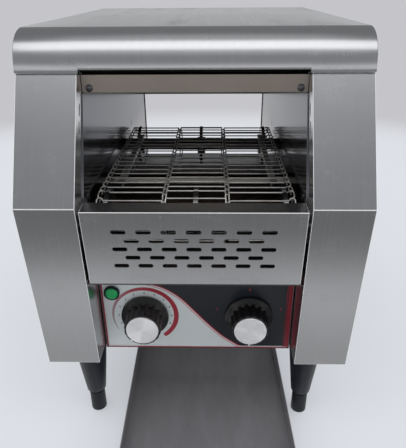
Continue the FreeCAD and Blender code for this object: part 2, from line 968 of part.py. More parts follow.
def deck_plate():
    """The floor under the belt. Its rear edge is where the toast drops."""
    body = new_body("deck_plate")
    s = size.sheet
    low = size.ledge_height
    front = panel_y + s + size.seat_gap
    pad(body, "z", box_outline(-inside_x, front, inside_x, deck_rear), low, low + s)
    pad(body, "z", box_outline(-inside_x, deck_rear - s, inside_x, deck_rear),
        low - size.deck_rear_drop, low)
    return body


def return_chute():
    """The slope that takes the toast from behind the belt to the front, with raised sides."""
    body = new_body("return_chute")
    front = knee_y + size.chute_front_setback
    front_z = size.chute_front_height
    rear = skin_y - size.seat_gap
    rear_z = size.opening_bottom

    def slope(thickness, rise):
        return [(front, front_z - thickness), (rear, rear_z - thickness),
                (rear, rear_z + rise), (front, front_z + rise)]

    pad(body, "x", slope(size.sheet, ZERO), -inside_x, inside_x)
    for side in (-1, 1):
        low, high = span(side, inside_x - size.sheet, inside_x)
        lip = [(front, front_z), (rear, rear_z), (rear, rear_z + size.chute_lip),
               (front, front_z + size.chute_lip)]
        pad(body, "x", lip, low, high)
    return body


def trough(label, front, rear, level, skirt, slope):
    """A folded reflector across the tunnel. Its skirts go up or down from the flat."""
    body = new_body(label)
    s = size.sheet
    tip = level + skirt
    thick = s if skirt.value > 0 else -s
    outline = [(front, tip), (front + slope, level), (rear - slope, level), (rear, tip),
               (rear - s, tip), (rear - slope - s, level + thick),
               (front + slope + s, level + thick), (front + s, tip)]
    pad(body, "x", outline, -inside_x, inside_x)
    return body


def upper_reflector():
    first = upper_tube_places()[0][0]
    last = upper_tube_places()[-1][0]
    margin = size.upper_reflector_margin
    return trough("upper_reflector", first - margin, last + margin,
                  casing_top - size.upper_reflector_drop,
                  -size.upper_reflector_skirt, size.upper_reflector_slope)


def lower_reflector():
    middle = lower_tube_place()[0]
    margin = belt_length * LOWER_REFLECTOR_SHARE
    return trough("lower_reflector", middle - margin, middle + margin,
                  shaft_z - size.lower_reflector_drop, size.lower_reflector_skirt,
                  size.lower_reflector_slope)


tube_end = inside_x + size.tube_seat - size.end_cap_reach + size.seat_gap


def heater_tubes(label, places):
    """Quartz tubes across the tunnel, each a hollow cylinder."""
    profile = [(-tube_end, size.tube_radius - size.tube_wall), (-tube_end, size.tube_radius),
               (tube_end, size.tube_radius), (tube_end, size.tube_radius - size.tube_wall)]
    tube = turned(f"{label}_pattern", "x", profile)
    return group(label, [copy_of(tube, y=y, z=z) for y, z in places])


def heater_end_caps():
    """Ceramic caps that hold the tubes in the inner walls, with a terminal stud outside."""
    seat = size.tube_radius + size.fit_clearance
    inner = inside_x - size.end_cap_reach + size.seat_gap
    floor = inner + size.tube_seat + size.seat_gap
    outer = column_x + size.end_cap_flange + size.end_cap_tail
    flange = column_x + size.end_cap_flange
    profile = [(floor, ZERO), (floor, seat), (inner, seat), (inner, size.end_cap_radius),
               (column_x, size.end_cap_radius), (column_x, size.end_cap_flange_radius),
               (flange, size.end_cap_flange_radius), (flange, size.end_cap_radius),
               (outer, size.end_cap_radius), (outer, size.stud_radius),
               (outer + size.stud_length, size.stud_radius), (outer + size.stud_length, ZERO)]
    cap = turned("end_cap_pattern", "x", profile)
    caps = []
    for y, z in upper_tube_places() + [lower_tube_place()]:
        caps.append(copy_of(cap, y=y, z=z))
        caps.append(copy_of(cap, y=y, z=z, axis=(0, 0, 1), turn=HALF_TURN))
    return group("heater_end_caps", caps)


def shaft_bushes():
    """Flanged bushes in the inner walls."""
    bore = size.shaft_radius + size.fit_clearance
    inner = wall_x - size.sheet / 2
    outer = column_x + size.bush_flange_thickness
    profile = [(inner, bore), (inner, size.bush_spigot_radius),
               (column_x, size.bush_spigot_radius), (column_x, size.bush_flange_radius),
               (outer, size.bush_flange_radius), (outer, bore)]
    bush = turned("bush_pattern", "x", profile)
    bushes = []
    for y, z in shaft_places():
        bushes.append(copy_of(bush, y=y, z=z))
        bushes.append(copy_of(bush, y=y, z=z, axis=(0, 0, 1), turn=HALF_TURN))
    return group("shaft_bushes", bushes)


def plain_shaft(label, radius, low, high, y, z):
    profile = [(low, ZERO), (low, radius), (high, radius), (high, ZERO)]
    return place(turned(label, "x", profile), y=y, z=z)


shaft_end = column_x + size.bush_flange_thickness + size.shaft_tail


def tooth_gap(body, seat_radius, gap, tip, half):
    """Cuts one gap between teeth: round at its seat and wider towards the tips."""
    low = seat_radius - gap
    high = tip + size.overrun
    sketch = cut_sketch(body, "x", -half, half)
    draw_slot(sketch, ZERO, (low + high) / 2, high - low, gap * 2, True)
    seat = sink(body, sketch, half * 2)
    mouth = gap + size.tooth_flare
    flare = [(-gap, seat_radius), (gap, seat_radius), (mouth, high), (-mouth, high)]
    return [seat, carve(body, "x", flare, -half, half)]


def belt_sprocket(label, x, y, phase):
    """A toothed wheel whose gaps take the belt's bars. Phase turns it into mesh."""
    body = new_body(label)
    tip = belt_radius + size.sprocket_tip
    half = size.sprocket_width / 2
    hub = size.hub_width / 2
    disc(body, "x", ZERO, ZERO, tip, -half, half)
    disc(body, "x", ZERO, ZERO, size.hub_radius, -hub, hub)
    bore = size.shaft_radius + size.fit_clearance
    drill(body, "x", [(ZERO, ZERO, bore)], -hub, hub)
    cuts = tooth_gap(body, belt_radius, size.wire_radius + size.sprocket_gap, tip, half)
    repeat_round(body, cuts, "X_Axis", BELT_TEETH)
    return place(body, x=x, y=y, z=shaft_z, axis=(1, 0, 0), turn=phase)


def middle_bar_lag():
    """How far the middle bars trail the long ones where the belt goes round a shaft."""
    flat = belt_radius * math.cos(math.pi / BELT_TEETH)
    reach = size.belt_pitch / 2 + size.middle_setback
    return slant(reach, flat) - HALF_TURN / BELT_TEETH


def belt_sprockets(label, y):
    """Three wheels on one shaft: two under the long bars and one under the middle bars."""
    wheels = []
    for index, side in enumerate((-1, 0, 1)):
        x = side * (belt_edge - size.sprocket_inset)
        phase = ZERO if side else -middle_bar_lag()
        wheels.append(belt_sprocket(f"{label}_wheel_{index}", x, y, phase))
    return group(label, wheels)


def strand_points():
    """Half a belt strand from its middle outwards: place across, along and out."""
    pitch = size.belt_pitch.value
    names = ("link_inner", "link_outer", "link_dip", "link_flat", "link_dip_end", "link_end")
    inner, outer, dip, flat, dip_end, end = (getattr(size, name).value for name in names)
    setback = size.middle_setback.value
    arch = size.loop_arch.value
    edge = belt_edge.value
    turn = pitch - size.loop_turn.value
    back_in = pitch - size.loop_return.value
    tip = pitch - size.loop_tip.value
    hook = edge - size.loop_hook.value
    return [(inner, -setback, 0), (inner, flat, 0), (inner, pitch - dip_end, -dip),
            (inner, pitch - end, -dip), (outer, pitch - end, -dip),
            (outer, pitch - dip_end, -dip), (outer, flat, 0), (outer, 0, 0),
            (edge - size.loop_width.value, 0, 0), (edge - size.loop_neck.value, -arch, 0),
            (edge - size.loop_bevel.value, -arch, 0), (edge, -size.loop_shoulder.value, 0),
            (edge, turn, 0), (hook, back_in, -size.loop_return_dip.value), (hook, tip, -dip)]


def belt_joint(number, radius):
    """Where one joint of the belt lies beside the shafts: Y and Z on the pitch line."""
    spans = belt_spans
    half = BELT_TEETH // 2
    length = size.belt_pitch.value * spans
    step = 2 * math.pi / BELT_TEETH
    number %= 2 * (spans + half)
    if number < spans:
        return length - number * size.belt_pitch.value, radius
    number -= spans
    if number < half:
        angle = number * step
        return -radius * math.sin(angle), radius * math.cos(angle)
    number -= half
    if number < spans:
        return number * size.belt_pitch.value, -radius
    number -= spans
    angle = number * step
    return length + radius * math.sin(angle), -radius * math.cos(angle)


def wire_solid(points, radius):
    """A bent wire with mitred corners through the points."""
    path = Part.makePolygon(points)
    first = points[1] - points[0]
    ring = Part.Wire(Part.makeCircle(radius, points[0], first))
    shell = Part.BRepOffsetAPI.MakePipeShell(path)
    shell.setTransitionMode(1)
    shell.add(ring)
    shell.build()
    shell.makeSolid()
    return shell.shape()


def wire_belt():
    """The belt: one bent wire a pitch, each hooked over the next at four places."""
    half = strand_points()
    strand = [Vector(-x, t, n) for x, t, n in reversed(half)]
    strand += [Vector(x, t, n) for x, t, n in half]
    solid = wire_solid(strand, size.wire_radius.value)
    count = 2 * (belt_spans + BELT_TEETH // 2)
    strands = []
    for number in range(count):
        here = Vector(0, *belt_joint(number, belt_radius.value))
        there = Vector(0, *belt_joint(number + 1, belt_radius.value))
        along = (there - here).normalize()
        across = Vector(-1, 0, 0)
        out = across.cross(along)
        frame = FreeCAD.Matrix(across.x, along.x, out.x, here.x,
                               across.y, along.y, out.y, here.y,
                               across.z, along.z, out.z, here.z)
        moved = solid.copy()
        moved.Placement = Placement(frame)
        strands.append(moved)
    belt = from_shapes("wire_belt", strands)
    return place(belt, y=shaft_y, z=shaft_z)


def belt_rails():
    """Two angle rails that carry the top run between the shafts."""
    top = shaft_z + belt_radius - size.wire_radius - size.seat_gap
    front = shaft_y + size.rail_clearance
    rear = rear_shaft_y - size.rail_clearance
    rails = []
    for name, side in SIDES.items():
        body = new_body(f"{name}_belt_rail")
        inner = belt_edge - size.rail_inset
        flat = span(side, inner, inner + size.rail_width)
        web = span(side, inner, inner + size.rail_sheet)
        pad(body, "z", box_outline(flat[0], front, flat[1], rear), top - size.rail_sheet, top)
        pad(body, "z", box_outline(web[0], front, web[1], rear),
            top - size.rail_depth, top - size.rail_sheet)
        rails.append(body)
    return group("belt_rails", rails)


def cross_bars():
    """Flat bars between the inner walls, which carry the rails."""
    top = shaft_z + belt_radius - size.wire_radius - size.seat_gap - size.rail_depth
    bars = []
    for name, y in (("front", shaft_y + size.rail_clearance),
                    ("rear", rear_shaft_y - size.rail_clearance - size.cross_bar_width)):
        body = new_body(f"{name}_cross_bar")
        outline = box_outline(-wall_x, y, wall_x, y + size.cross_bar_width)
        pad(body, "z", outline, top - size.cross_bar_thickness, top)
        bars.append(body)
    return group("cross_bars", bars)


def chain_radius(teeth):
    return size.chain_pitch / (2 * math.sin(math.pi / teeth))


big_radius = chain_radius(SHAFT_TEETH)
small_radius = chain_radius(MOTOR_TEETH)
chain_x = column_x + size.chain_stand
chain_room = (shaft_z - size.casing_bottom - size.motor_room) / cosine(size.motor_lean)
chain_spans = int(chain_room.value / size.chain_pitch.value)
chain_run = size.chain_pitch * chain_spans
radius_step = big_radius - small_radius
chain_centres = root(chain_run * chain_run - radius_step * radius_step)
motor_y = shaft_y + chain_centres * sine(size.motor_lean)
motor_z = shaft_z - chain_centres * cosine(size.motor_lean)


def chain_sprocket(label, teeth, bore, hub_radius, y, z):
    """A wheel for the drive chain, turned so that a gap lies square to the centre line."""
    body = new_body(label)
    radius = chain_radius(teeth)
    tip = radius + size.chain_sprocket_tip
    half = size.chain_sprocket_width / 2
    disc(body, "x", ZERO, ZERO, tip, -half, half)
    disc(body, "x", ZERO, ZERO, hub_radius, half, half + size.chain_hub_length / 2)
    disc(body, "x", ZERO, ZERO, hub_radius, -half - size.chain_hub_length / 2, -half)
    end = half + size.chain_hub_length / 2
    drill(body, "x", [(ZERO, ZERO, bore + size.fit_clearance)], -end, end)
    gap = size.roller_radius + size.chain_sprocket_gap
    cuts = tooth_gap(body, radius, gap, tip, half)
    repeat_round(body, cuts, "X_Axis", teeth)
    return place(body, x=chain_x, y=y, z=z, axis=(1, 0, 0), turn=size.motor_lean)


def link_plates(offset, hole, ends):
    """The two side plates of a chain link that runs along Y from the first roller."""
    pitch = size.chain_pitch.value
    radius = size.plate_height.value / 2
    thick = size.plate_thickness.value
    plates = []
    for low in (offset, -offset - thick):
        plate = Part.makeBox(thick, pitch, 2 * radius, Vector(low, 0, -radius))
        for y in (0, pitch):
            plate = plate.fuse(Part.makeCylinder(radius, thick, Vector(low, y, 0), Vector(1, 0, 0)))
        plate = plate.removeSplitter()
        for y in (0, pitch):
            if hole:
                drilled = Part.makeCylinder(hole, thick, Vector(low, y, 0), Vector(1, 0, 0))
                plate = plate.cut(drilled)
        plates.append(plate)
    joined = plates[0].fuse([plates[1]] + ends)
    return joined.removeSplitter()


def drive_chain():
    """The roller chain: inner links with rollers and outer links with pins, in turn."""
    pitch = size.chain_pitch.value
    axis = Vector(1, 0, 0)
    inside = size.inner_plate_offset.value
    long = size.pin_half_length.value
    rollers = []
    pins = []
    for y in (0, pitch):
        start = Vector(-inside, y, 0)
        roller = Part.makeCylinder(size.roller_radius.value, 2 * inside, start, axis)
        bore = Part.makeCylinder(size.pin_bore_radius.value, 2 * inside, start, axis)
        rollers.append(roller.cut(bore))
        pins.append(Part.makeCylinder(size.pin_radius.value, 2 * long, Vector(-long, y, 0), axis))
    inner = link_plates(inside, size.pin_bore_radius.value, rollers)
    outer = link_plates(size.outer_plate_offset.value, 0, pins)
    big = big_radius.value
    small = small_radius.value
    reach = chain_centres.value
    joints = []
    for number in range(SHAFT_TEETH // 2 + 1):
        angle = number * 2 * math.pi / SHAFT_TEETH
        joints.append((-big * math.cos(angle), -big * math.sin(angle)))
    for number in range(1, chain_spans):
        share = number / chain_spans
        joints.append((big + (small - big) * share, reach * share))
    for number in range(MOTOR_TEETH // 2 + 1):
        angle = number * 2 * math.pi / MOTOR_TEETH
        joints.append((small * math.cos(angle), reach + small * math.sin(angle)))
    for number in range(1, chain_spans):
        share = number / chain_spans
        joints.append((-small + (small - big) * share, reach * (1 - share)))
    links = []
    for number, here in enumerate(joints):
        there = joints[(number + 1) % len(joints)]
        start = Vector(0, *here)
        along = (Vector(0, *there) - start).normalize()
        turn = math.degrees(math.atan2(along.z, along.y))
        link = (inner if number % 2 else outer).copy()
        link.Placement = Placement(start, Rotation(axis, turn))
        links.append(link)
    chain = from_shapes("drive_chain", links)
    return place(chain, x=chain_x, y=shaft_y, z=shaft_z, axis=(1, 0, 0),
                 turn=size.motor_lean + HALF_TURN)


motor_face = column_x + size.bracket_stand + size.bracket_sheet


def motor_bracket():
    """A channel on the inner wall that holds the motor clear of it."""
    body = new_body("motor_bracket")
    half = size.bracket_height / 2
    t = size.bracket_sheet
    outline = [(column_x, motor_z - half), (motor_face, motor_z - half),
               (motor_face, motor_z + half), (column_x, motor_z + half),
               (column_x, motor_z + half - t), (motor_face - t, motor_z + half - t),
               (motor_face - t, motor_z - half + t), (column_x, motor_z - half + t)]
    reach = size.bracket_length / 2
    pad(body, "y", outline, motor_y - reach, motor_y + reach)
    return body


def gear_motor():
    """The geared motor: a round can with a boss that guides its shaft."""
    bore = size.motor_shaft_radius + size.fit_clearance
    front = motor_face + size.motor_depth
    boss = front + size.motor_boss_depth
    floor = front - size.motor_shaft_tail - size.seat_gap
    profile = [(motor_face, ZERO), (motor_face, size.motor_radius), (front, size.motor_radius),
               (front, size.motor_boss_radius), (boss, size.motor_boss_radius), (boss, bore),
               (floor, bore), (floor, ZERO)]
    return place(turned("gear_motor", "x", profile), y=motor_y, z=motor_z)


def fan_frame():
    """The fan's square frame with its struts, hub and axle pin, on the left column's skin."""
    body = new_body("fan_frame")
    half = size.fan_size / 2
    outer = size.sheet + size.seat_gap - side_x
    inner = outer + size.fan_depth
    y = vent_y
    z = size.fan_height
    outline = box_outline(y - half, z - half, y + half, z + half)
    pad(body, "x", outline, outer, inner, [(y, z, size.fan_bore_radius)])
    strut = size.fan_strut_width / 2
    back_face = inner - size.fan_strut_depth
    pad(body, "x", box_outline(y - half, z - strut, y + half, z + strut), back_face, inner)
    pad(body, "x", box_outline(y - strut, z - half, y + strut, z + half), back_face, inner)
    disc(body, "x", y, z, size.fan_hub_radius, back_face, inner)
    pin = back_face - size.fan_rotor_depth
    disc(body, "x", y, z, size.fan_pin_radius, pin, back_face)
    return body


def fan_rotor():
    """The fan's hub and its slanted blades."""
    body = new_body("fan_rotor")
    inner = (size.sheet + size.seat_gap - side_x + size.fan_depth - size.fan_strut_depth
             - size.seat_gap)
    outer = inner - size.fan_rotor_depth
    disc(body, "x", ZERO, ZERO, size.fan_hub_radius, outer, inner)
    half = size.fan_blade_twist / 2
    t = size.fan_blade_sheet
    edge = size.fan_blade_sheet
    blade = [(outer + edge, -half), (outer + edge + t, -half), (inner - edge, half - t),
             (inner - edge, half), (inner - edge - t, half), (outer + edge, t - half)]
    feature = pad(body, "z", blade, size.fan_hub_radius - t, size.fan_blade_reach)
    repeat_round(body, [feature], "X_Axis", BLADES)
    drill(body, "x", [(ZERO, ZERO, size.fan_pin_radius + size.fit_clearance)], outer, inner)
    return place(body, y=vent_y, z=size.fan_height)


def knob(name, x):
    """A fluted grip on a wide skirt, hollow behind for the nut and bored for the spindle."""
    gap = -size.knob_gap
    skirt = gap - size.skirt_thickness
    slope = skirt - size.skirt_slope
    front = -size.grip_length
    chamfer = size.grip_chamfer
    bore = size.spindle_radius + size.fit_clearance
    hollow = -size.knob_hollow_depth
    depth = -size.knob_bore_depth
    profile = [(gap, size.knob_hollow_radius), (gap, size.skirt_radius),
               (skirt, size.skirt_radius), (slope, size.grip_root_radius),
               (front + chamfer, size.grip_radius), (front, size.grip_radius - chamfer),
               (front, ZERO), (depth, ZERO), (depth, bore), (hollow, bore),
               (hollow, size.knob_hollow_radius)]
    body = turned(f"{name}_knob", "y", profile)
    flute = drill(body, "y", [(ZERO, size.flute_centre, size.flute_radius)],
                  front - size.overrun, slope)
    repeat_round(body, [flute], "Y_Axis", FLUTES)
    return place(body, x=x, y=overlay_y, z=knob_z)


def knob_cap(name, x):
    """The turned metal cap on the knob's face."""
    seat = -size.grip_length
    front = seat - size.cap_thickness
    bevel = size.cap_chamfer
    profile = [(seat, ZERO), (seat, size.cap_radius), (front + bevel, size.cap_radius),
               (front, size.cap_radius - bevel), (front, ZERO)]
    return place(turned(f"{name}_knob_cap", "y", profile), x=x, y=overlay_y, z=knob_z)


def spindle(name, x):
    profile = [(-size.spindle_reach, ZERO), (-size.spindle_reach, size.spindle_radius),
               (size.spindle_tail, size.spindle_radius), (size.spindle_tail, ZERO)]
    return place(turned(f"{name}_spindle", "y", profile), x=x, y=overlay_y, z=knob_z)


def control(label, x, depth):
    """A switch or regulator behind the panel, whose bush comes through it."""
    body = new_body(label)
    half = size.control_size / 2
    face = size.overlay_thickness + size.sheet
    pad(body, "y", box_outline(-half, -half, half, half), face, face + depth)
    disc(body, "y", ZERO, ZERO, size.bush_radius, -size.bush_reach, face)
    bore = size.spindle_radius + size.fit_clearance
    drill(body, "y", [(ZERO, ZERO, bore)], -size.bush_reach,
          size.spindle_tail + size.seat_gap)
    return place(body, x=x, y=overlay_y, z=knob_z)


def panel_nuts():
    """The hexagonal nuts that hold the controls to the panel."""
    body = new_body("nut_pattern")
    half = size.nut_width / 2
    corner = size.nut_width / math.sqrt(3)
    outline = [(-corner, ZERO), (-corner / 2, -half), (corner / 2, -half), (corner, ZERO),
               (corner / 2, half), (-corner / 2, half)]
    bore = size.bush_radius + size.fit_clearance
    pad(body, "y", outline, -size.nut_thickness, ZERO, [(ZERO, ZERO, bore)])
    return group("panel_nuts", [copy_of(body, x=x, y=overlay_y, z=z) for x, z in knob_places])


def lamp():
    """The pilot lamp: bezel ring, lens and the body behind the panel."""
    x, z = lamp_place
    bore = size.bezel_radius - size.bezel_wall
    reach = -size.bezel_reach
    bezel = turned("lamp_bezel", "y", [
        (ZERO, bore), (ZERO, size.bezel_radius), (reach, size.bezel_radius), (reach, bore)])
    lens_radius = bore - size.fit_clearance
    tip = -size.lens_reach
    bevel = size.lens_bevel
    lens = turned("lamp_lens", "y", [
        (ZERO, ZERO), (ZERO, lens_radius), (tip + bevel, lens_radius),
        (tip, lens_radius - bevel), (tip, ZERO)])
    length = size.lamp_body_length
    holder = turned("lamp_body", "y", [
        (ZERO, ZERO), (ZERO, size.lamp_body_radius), (length, size.lamp_body_radius),
        (length, ZERO)])
    return [place(piece, x=x, y=overlay_y, z=z) for piece in (bezel, lens, holder)]


def leg_places():
    front = hood_front - size.front_leg_setback
    rear = back - size.rear_leg_inset
    return {"front_left": (-leg_x, front), "front_right": (leg_x, front),
            "rear_left": (-leg_x, rear), "rear_right": (leg_x, rear)}


def legs():
    """Tapered legs under the columns, bored for the feet's stems."""
    bottom = size.leg_bottom
    bore = size.stem_radius + size.fit_clearance
    room = bottom + size.stem_length + size.stem_room
    chamfer = size.leg_chamfer
    profile = [(bottom, bore), (bottom, size.leg_bottom_radius - chamfer),
               (bottom + chamfer, size.leg_bottom_radius),
               (size.casing_bottom, size.leg_top_radius), (size.casing_bottom, ZERO),
               (room, ZERO), (room, bore)]
    leg = turned("leg_pattern", "z", profile)
    return group("legs", [copy_of(leg, x=x, y=y) for x, y in leg_places().values()])


def foot(name, x, y):
    """An adjustable foot on a stem that runs in the leg."""
    top = size.leg_bottom - size.seat_gap
    chamfer = size.foot_chamfer
    radius = size.foot_radius
    tip = size.leg_bottom + size.stem_length
    profile = [(ZERO, ZERO), (ZERO, radius - chamfer), (chamfer, radius), (top - chamfer, radius),
               (top, radius - chamfer), (top, size.stem_radius), (tip, size.stem_radius),
               (tip, ZERO)]
    return place(turned(f"foot_{name}", "z", profile), x=x, y=y)


def toast_tray():
    """The loose tray on the table, a shallow open pan that lies a little turned."""
    body = new_body("toast_tray")
    half = leg_x - size.tray_side_room
    s = size.tray_sheet
    pad(body, "z", box_outline(-half, ZERO, half, size.tray_length), ZERO, size.tray_height)
    carve(body, "z", box_outline(s - half, s, half - s, size.tray_length - s),
          s, size.tray_height)
    front = half * sine(size.tray_turn) - size.half_length
    return place(body, x=size.tray_offset, y=front, axis=(0, 0, 1), turn=size.tray_turn)


def cable_gland():
    """The gland in the rear panel that the supply cord would come through."""
    bore = size.gland_bore_radius
    profile = [(-size.gland_tail, bore), (-size.gland_tail, size.gland_thread_radius),
               (ZERO, size.gland_thread_radius), (ZERO, size.gland_flange_radius),
               (size.gland_flange_thickness, size.gland_flange_radius),
               (size.gland_reach, size.gland_tip_radius), (size.gland_reach, bore)]
    return place(turned("cable_gland", "y", profile), x=gland_x, y=back, z=size.gland_height)


def terminal_block():
    """The supply's terminal block on the left column's floor plate."""
    body = new_body("terminal_block")
    rear = skin_y - size.terminal_gap
    front = rear - size.terminal_length
    middle = -(column_x + side_x) / 2
    half = size.terminal_width / 2
    floor = size.casing_bottom + size.sheet + size.bracket_sheet
    outline = box_outline(middle - half, front, middle + half, rear)
    pad(body, "z", outline, floor, floor + size.terminal_height)
    return body


def screw_pattern(label):
    """A pan-head screw along -Y, its head's seat at the origin."""
    profile = [(size.screw_length, ZERO), (size.screw_length, size.screw_radius),
               (ZERO, size.screw_radius), (ZERO, size.head_radius),
               (-size.head_height / 2, size.head_radius),
               (-size.head_height, size.head_radius / 2), (-size.head_height, ZERO)]
    return turned(label, "y", profile)


def rear_panel_screws():
    screw = screw_pattern("rear_screw_pattern")
    places = [(side * rear_screw_x, height) for side in (-1, 1)
              for height in rear_screw_heights()]
    screws = [copy_of(screw, x=x, y=back, z=z, axis=(0, 0, 1), turn=HALF_TURN)
              for x, z in places]
    return group("rear_panel_screws", screws)


def tunnel_screws():
    """The screws in the inner walls, beside the belt, and at the fascia's lower corners."""
    screw = screw_pattern("tunnel_screw_pattern")
    y, z = wall_screw_place()
    screws = [copy_of(screw, x=side * wall_x, y=y, z=z, axis=(0, 0, 1),
                      turn=-side * QUARTER_TURN) for side in (1, -1)]
    half = column_x - size.seat_gap
    for side in (-1, 1):
        screws.append(copy_of(screw, x=side * (half - size.fascia_screw_inset),
                              y=knee_y + size.fascia_back,
                              z=fascia_bottom + size.fascia_screw_rise))
    return group("tunnel_screws", screws)


def build_casing():
    pieces = [hood(), ceiling_plate(), front_fascia(), rear_panel(), column_floor_plates(),
              front_guard(), control_panel(), panel_overlay(), control_box_back(),
              deck_plate(), return_chute()]
    for name, side in SIDES.items():
        pieces.append(side_panel(name, side))
        pieces.append(inner_wall(name, side))
    return pieces


def build_heating():
    return [upper_reflector(), lower_reflector(),
            heater_tubes("upper_heater_tubes", upper_tube_places()),
            heater_tubes("lower_heater_tube", [lower_tube_place()]), heater_end_caps()]


def build_conveyor():
    end = chain_x + size.chain_hub_length
    return [shaft_bushes(), belt_rails(), cross_bars(), wire_belt(),
            plain_shaft("front_shaft", size.shaft_radius, -shaft_end, end, *shaft_places()[0]),
            plain_shaft("rear_shaft", size.shaft_radius, -shaft_end, shaft_end,
                        *shaft_places()[1]),
            belt_sprockets("front_belt_sprockets", shaft_y),
            belt_sprockets("rear_belt_sprockets", rear_shaft_y)]


def build_drive():
    tail = motor_face + size.motor_depth - size.motor_shaft_tail
    return [motor_bracket(), gear_motor(), drive_chain(),
            plain_shaft("motor_shaft", size.motor_shaft_radius, tail,
                        chain_x + size.motor_shaft_overhang, motor_y, motor_z),
            chain_sprocket("shaft_sprocket", SHAFT_TEETH, size.shaft_radius,
                           size.shaft_hub_radius, shaft_y, shaft_z),
            chain_sprocket("motor_sprocket", MOTOR_TEETH, size.motor_shaft_radius,
                           size.motor_hub_radius, motor_y, motor_z),
            fan_frame(), fan_rotor()]


def build_controls():
    pieces = [panel_nuts()] + lamp()
    controls = (("speed", "speed_control", -knob_x, size.control_depth),
                ("selector", "selector_switch", knob_x, size.selector_depth))
    for name, label, x, depth in controls:
        pieces += [knob(name, x), knob_cap(name, x), spindle(name, x), control(label, x, depth)]
    return pieces


def build_base():
    pieces = [legs(), toast_tray(), cable_gland(), terminal_block(), rear_panel_screws(),
              tunnel_screws()]
    pieces += [foot(name, x, y) for name, (x, y) in leg_places().items()]
    return pieces


for build in (build_casing, build_heating, build_conveyor, build_drive, build_controls,
              build_base):
    nodes += build()
doc.recompute()

faults = [item.Label for item in doc.Objects
          if {"Invalid", "Error"} & set(item.State)]
for item in nodes:
    if item.Shape.isNull() or not item.Shape.isValid() or not item.Shape.Solids:
        faults.append(item.Label)
if faults:
    raise RuntimeError(f"not built as drawn: {faults}")
os.makedirs("parts", exist_ok=True)
for item in nodes:
    item.Shape.exportStep(f"parts/{item.Label}.step")
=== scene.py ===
import json
import math

import bmesh
import bpy
from mathutils import Matrix, Vector

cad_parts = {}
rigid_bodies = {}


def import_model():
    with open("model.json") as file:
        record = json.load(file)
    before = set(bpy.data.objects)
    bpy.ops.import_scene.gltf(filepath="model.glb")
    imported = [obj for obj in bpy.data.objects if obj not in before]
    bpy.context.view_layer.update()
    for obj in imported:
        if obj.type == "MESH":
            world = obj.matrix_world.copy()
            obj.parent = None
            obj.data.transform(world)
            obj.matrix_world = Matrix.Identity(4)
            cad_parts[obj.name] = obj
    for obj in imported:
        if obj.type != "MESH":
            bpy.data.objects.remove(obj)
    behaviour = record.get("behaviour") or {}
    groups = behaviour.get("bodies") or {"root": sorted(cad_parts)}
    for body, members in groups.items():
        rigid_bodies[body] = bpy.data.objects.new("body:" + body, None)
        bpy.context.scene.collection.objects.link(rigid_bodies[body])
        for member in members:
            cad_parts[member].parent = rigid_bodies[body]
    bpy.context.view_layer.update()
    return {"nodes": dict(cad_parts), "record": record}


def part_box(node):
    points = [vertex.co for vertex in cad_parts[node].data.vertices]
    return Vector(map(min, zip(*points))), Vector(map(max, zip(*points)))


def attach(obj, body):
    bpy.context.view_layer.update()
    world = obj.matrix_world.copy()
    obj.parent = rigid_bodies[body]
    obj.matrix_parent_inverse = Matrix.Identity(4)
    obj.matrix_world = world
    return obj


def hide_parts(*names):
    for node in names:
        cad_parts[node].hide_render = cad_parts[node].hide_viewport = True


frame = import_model()

# Sizes are in metres unless a name says otherwise. +X is the toaster's right, +Y its back, +Z up.
MM = 0.001


class Value:
    """A shader socket that takes part in sums."""

    def __init__(self, finish, socket):
        self.finish = finish
        self.socket = socket

    def math(self, operation, *others):
        node = self.finish.node("ShaderNodeMath", {"operation": operation},
                                dict(enumerate((self, *others))))
        return Value(self.finish, node.outputs[0])

    def flipped(self, operation, other):
        node = self.finish.node("ShaderNodeMath", {"operation": operation}, {0: other, 1: self})
        return Value(self.finish, node.outputs[0])

    def __add__(self, other):
        return self.math("ADD", other)

    def __radd__(self, other):
        return self.math("ADD", other)

    def __sub__(self, other):
        return self.math("SUBTRACT", other)

    def __rsub__(self, other):
        return self.flipped("SUBTRACT", other)

    def __mul__(self, other):
        return self.math("MULTIPLY", other)

    def __rmul__(self, other):
        return self.math("MULTIPLY", other)

    def __pow__(self, other):
        return self.math("POWER", other)

    def size(self):
        return self.math("ABSOLUTE")

    def sine(self):
        return self.math("SINE")

    def either(self, other):
        return self.math("MAXIMUM", other)

    def ease(self, low, high):
        """0 below low, 1 above high and a smooth rise between them."""
        node = self.finish.node("ShaderNodeMapRange", {"interpolation_type": "SMOOTHSTEP"},
                                {"Value": self, "From Min": low, "From Max": high})
        return Value(self.finish, node.outputs[0])


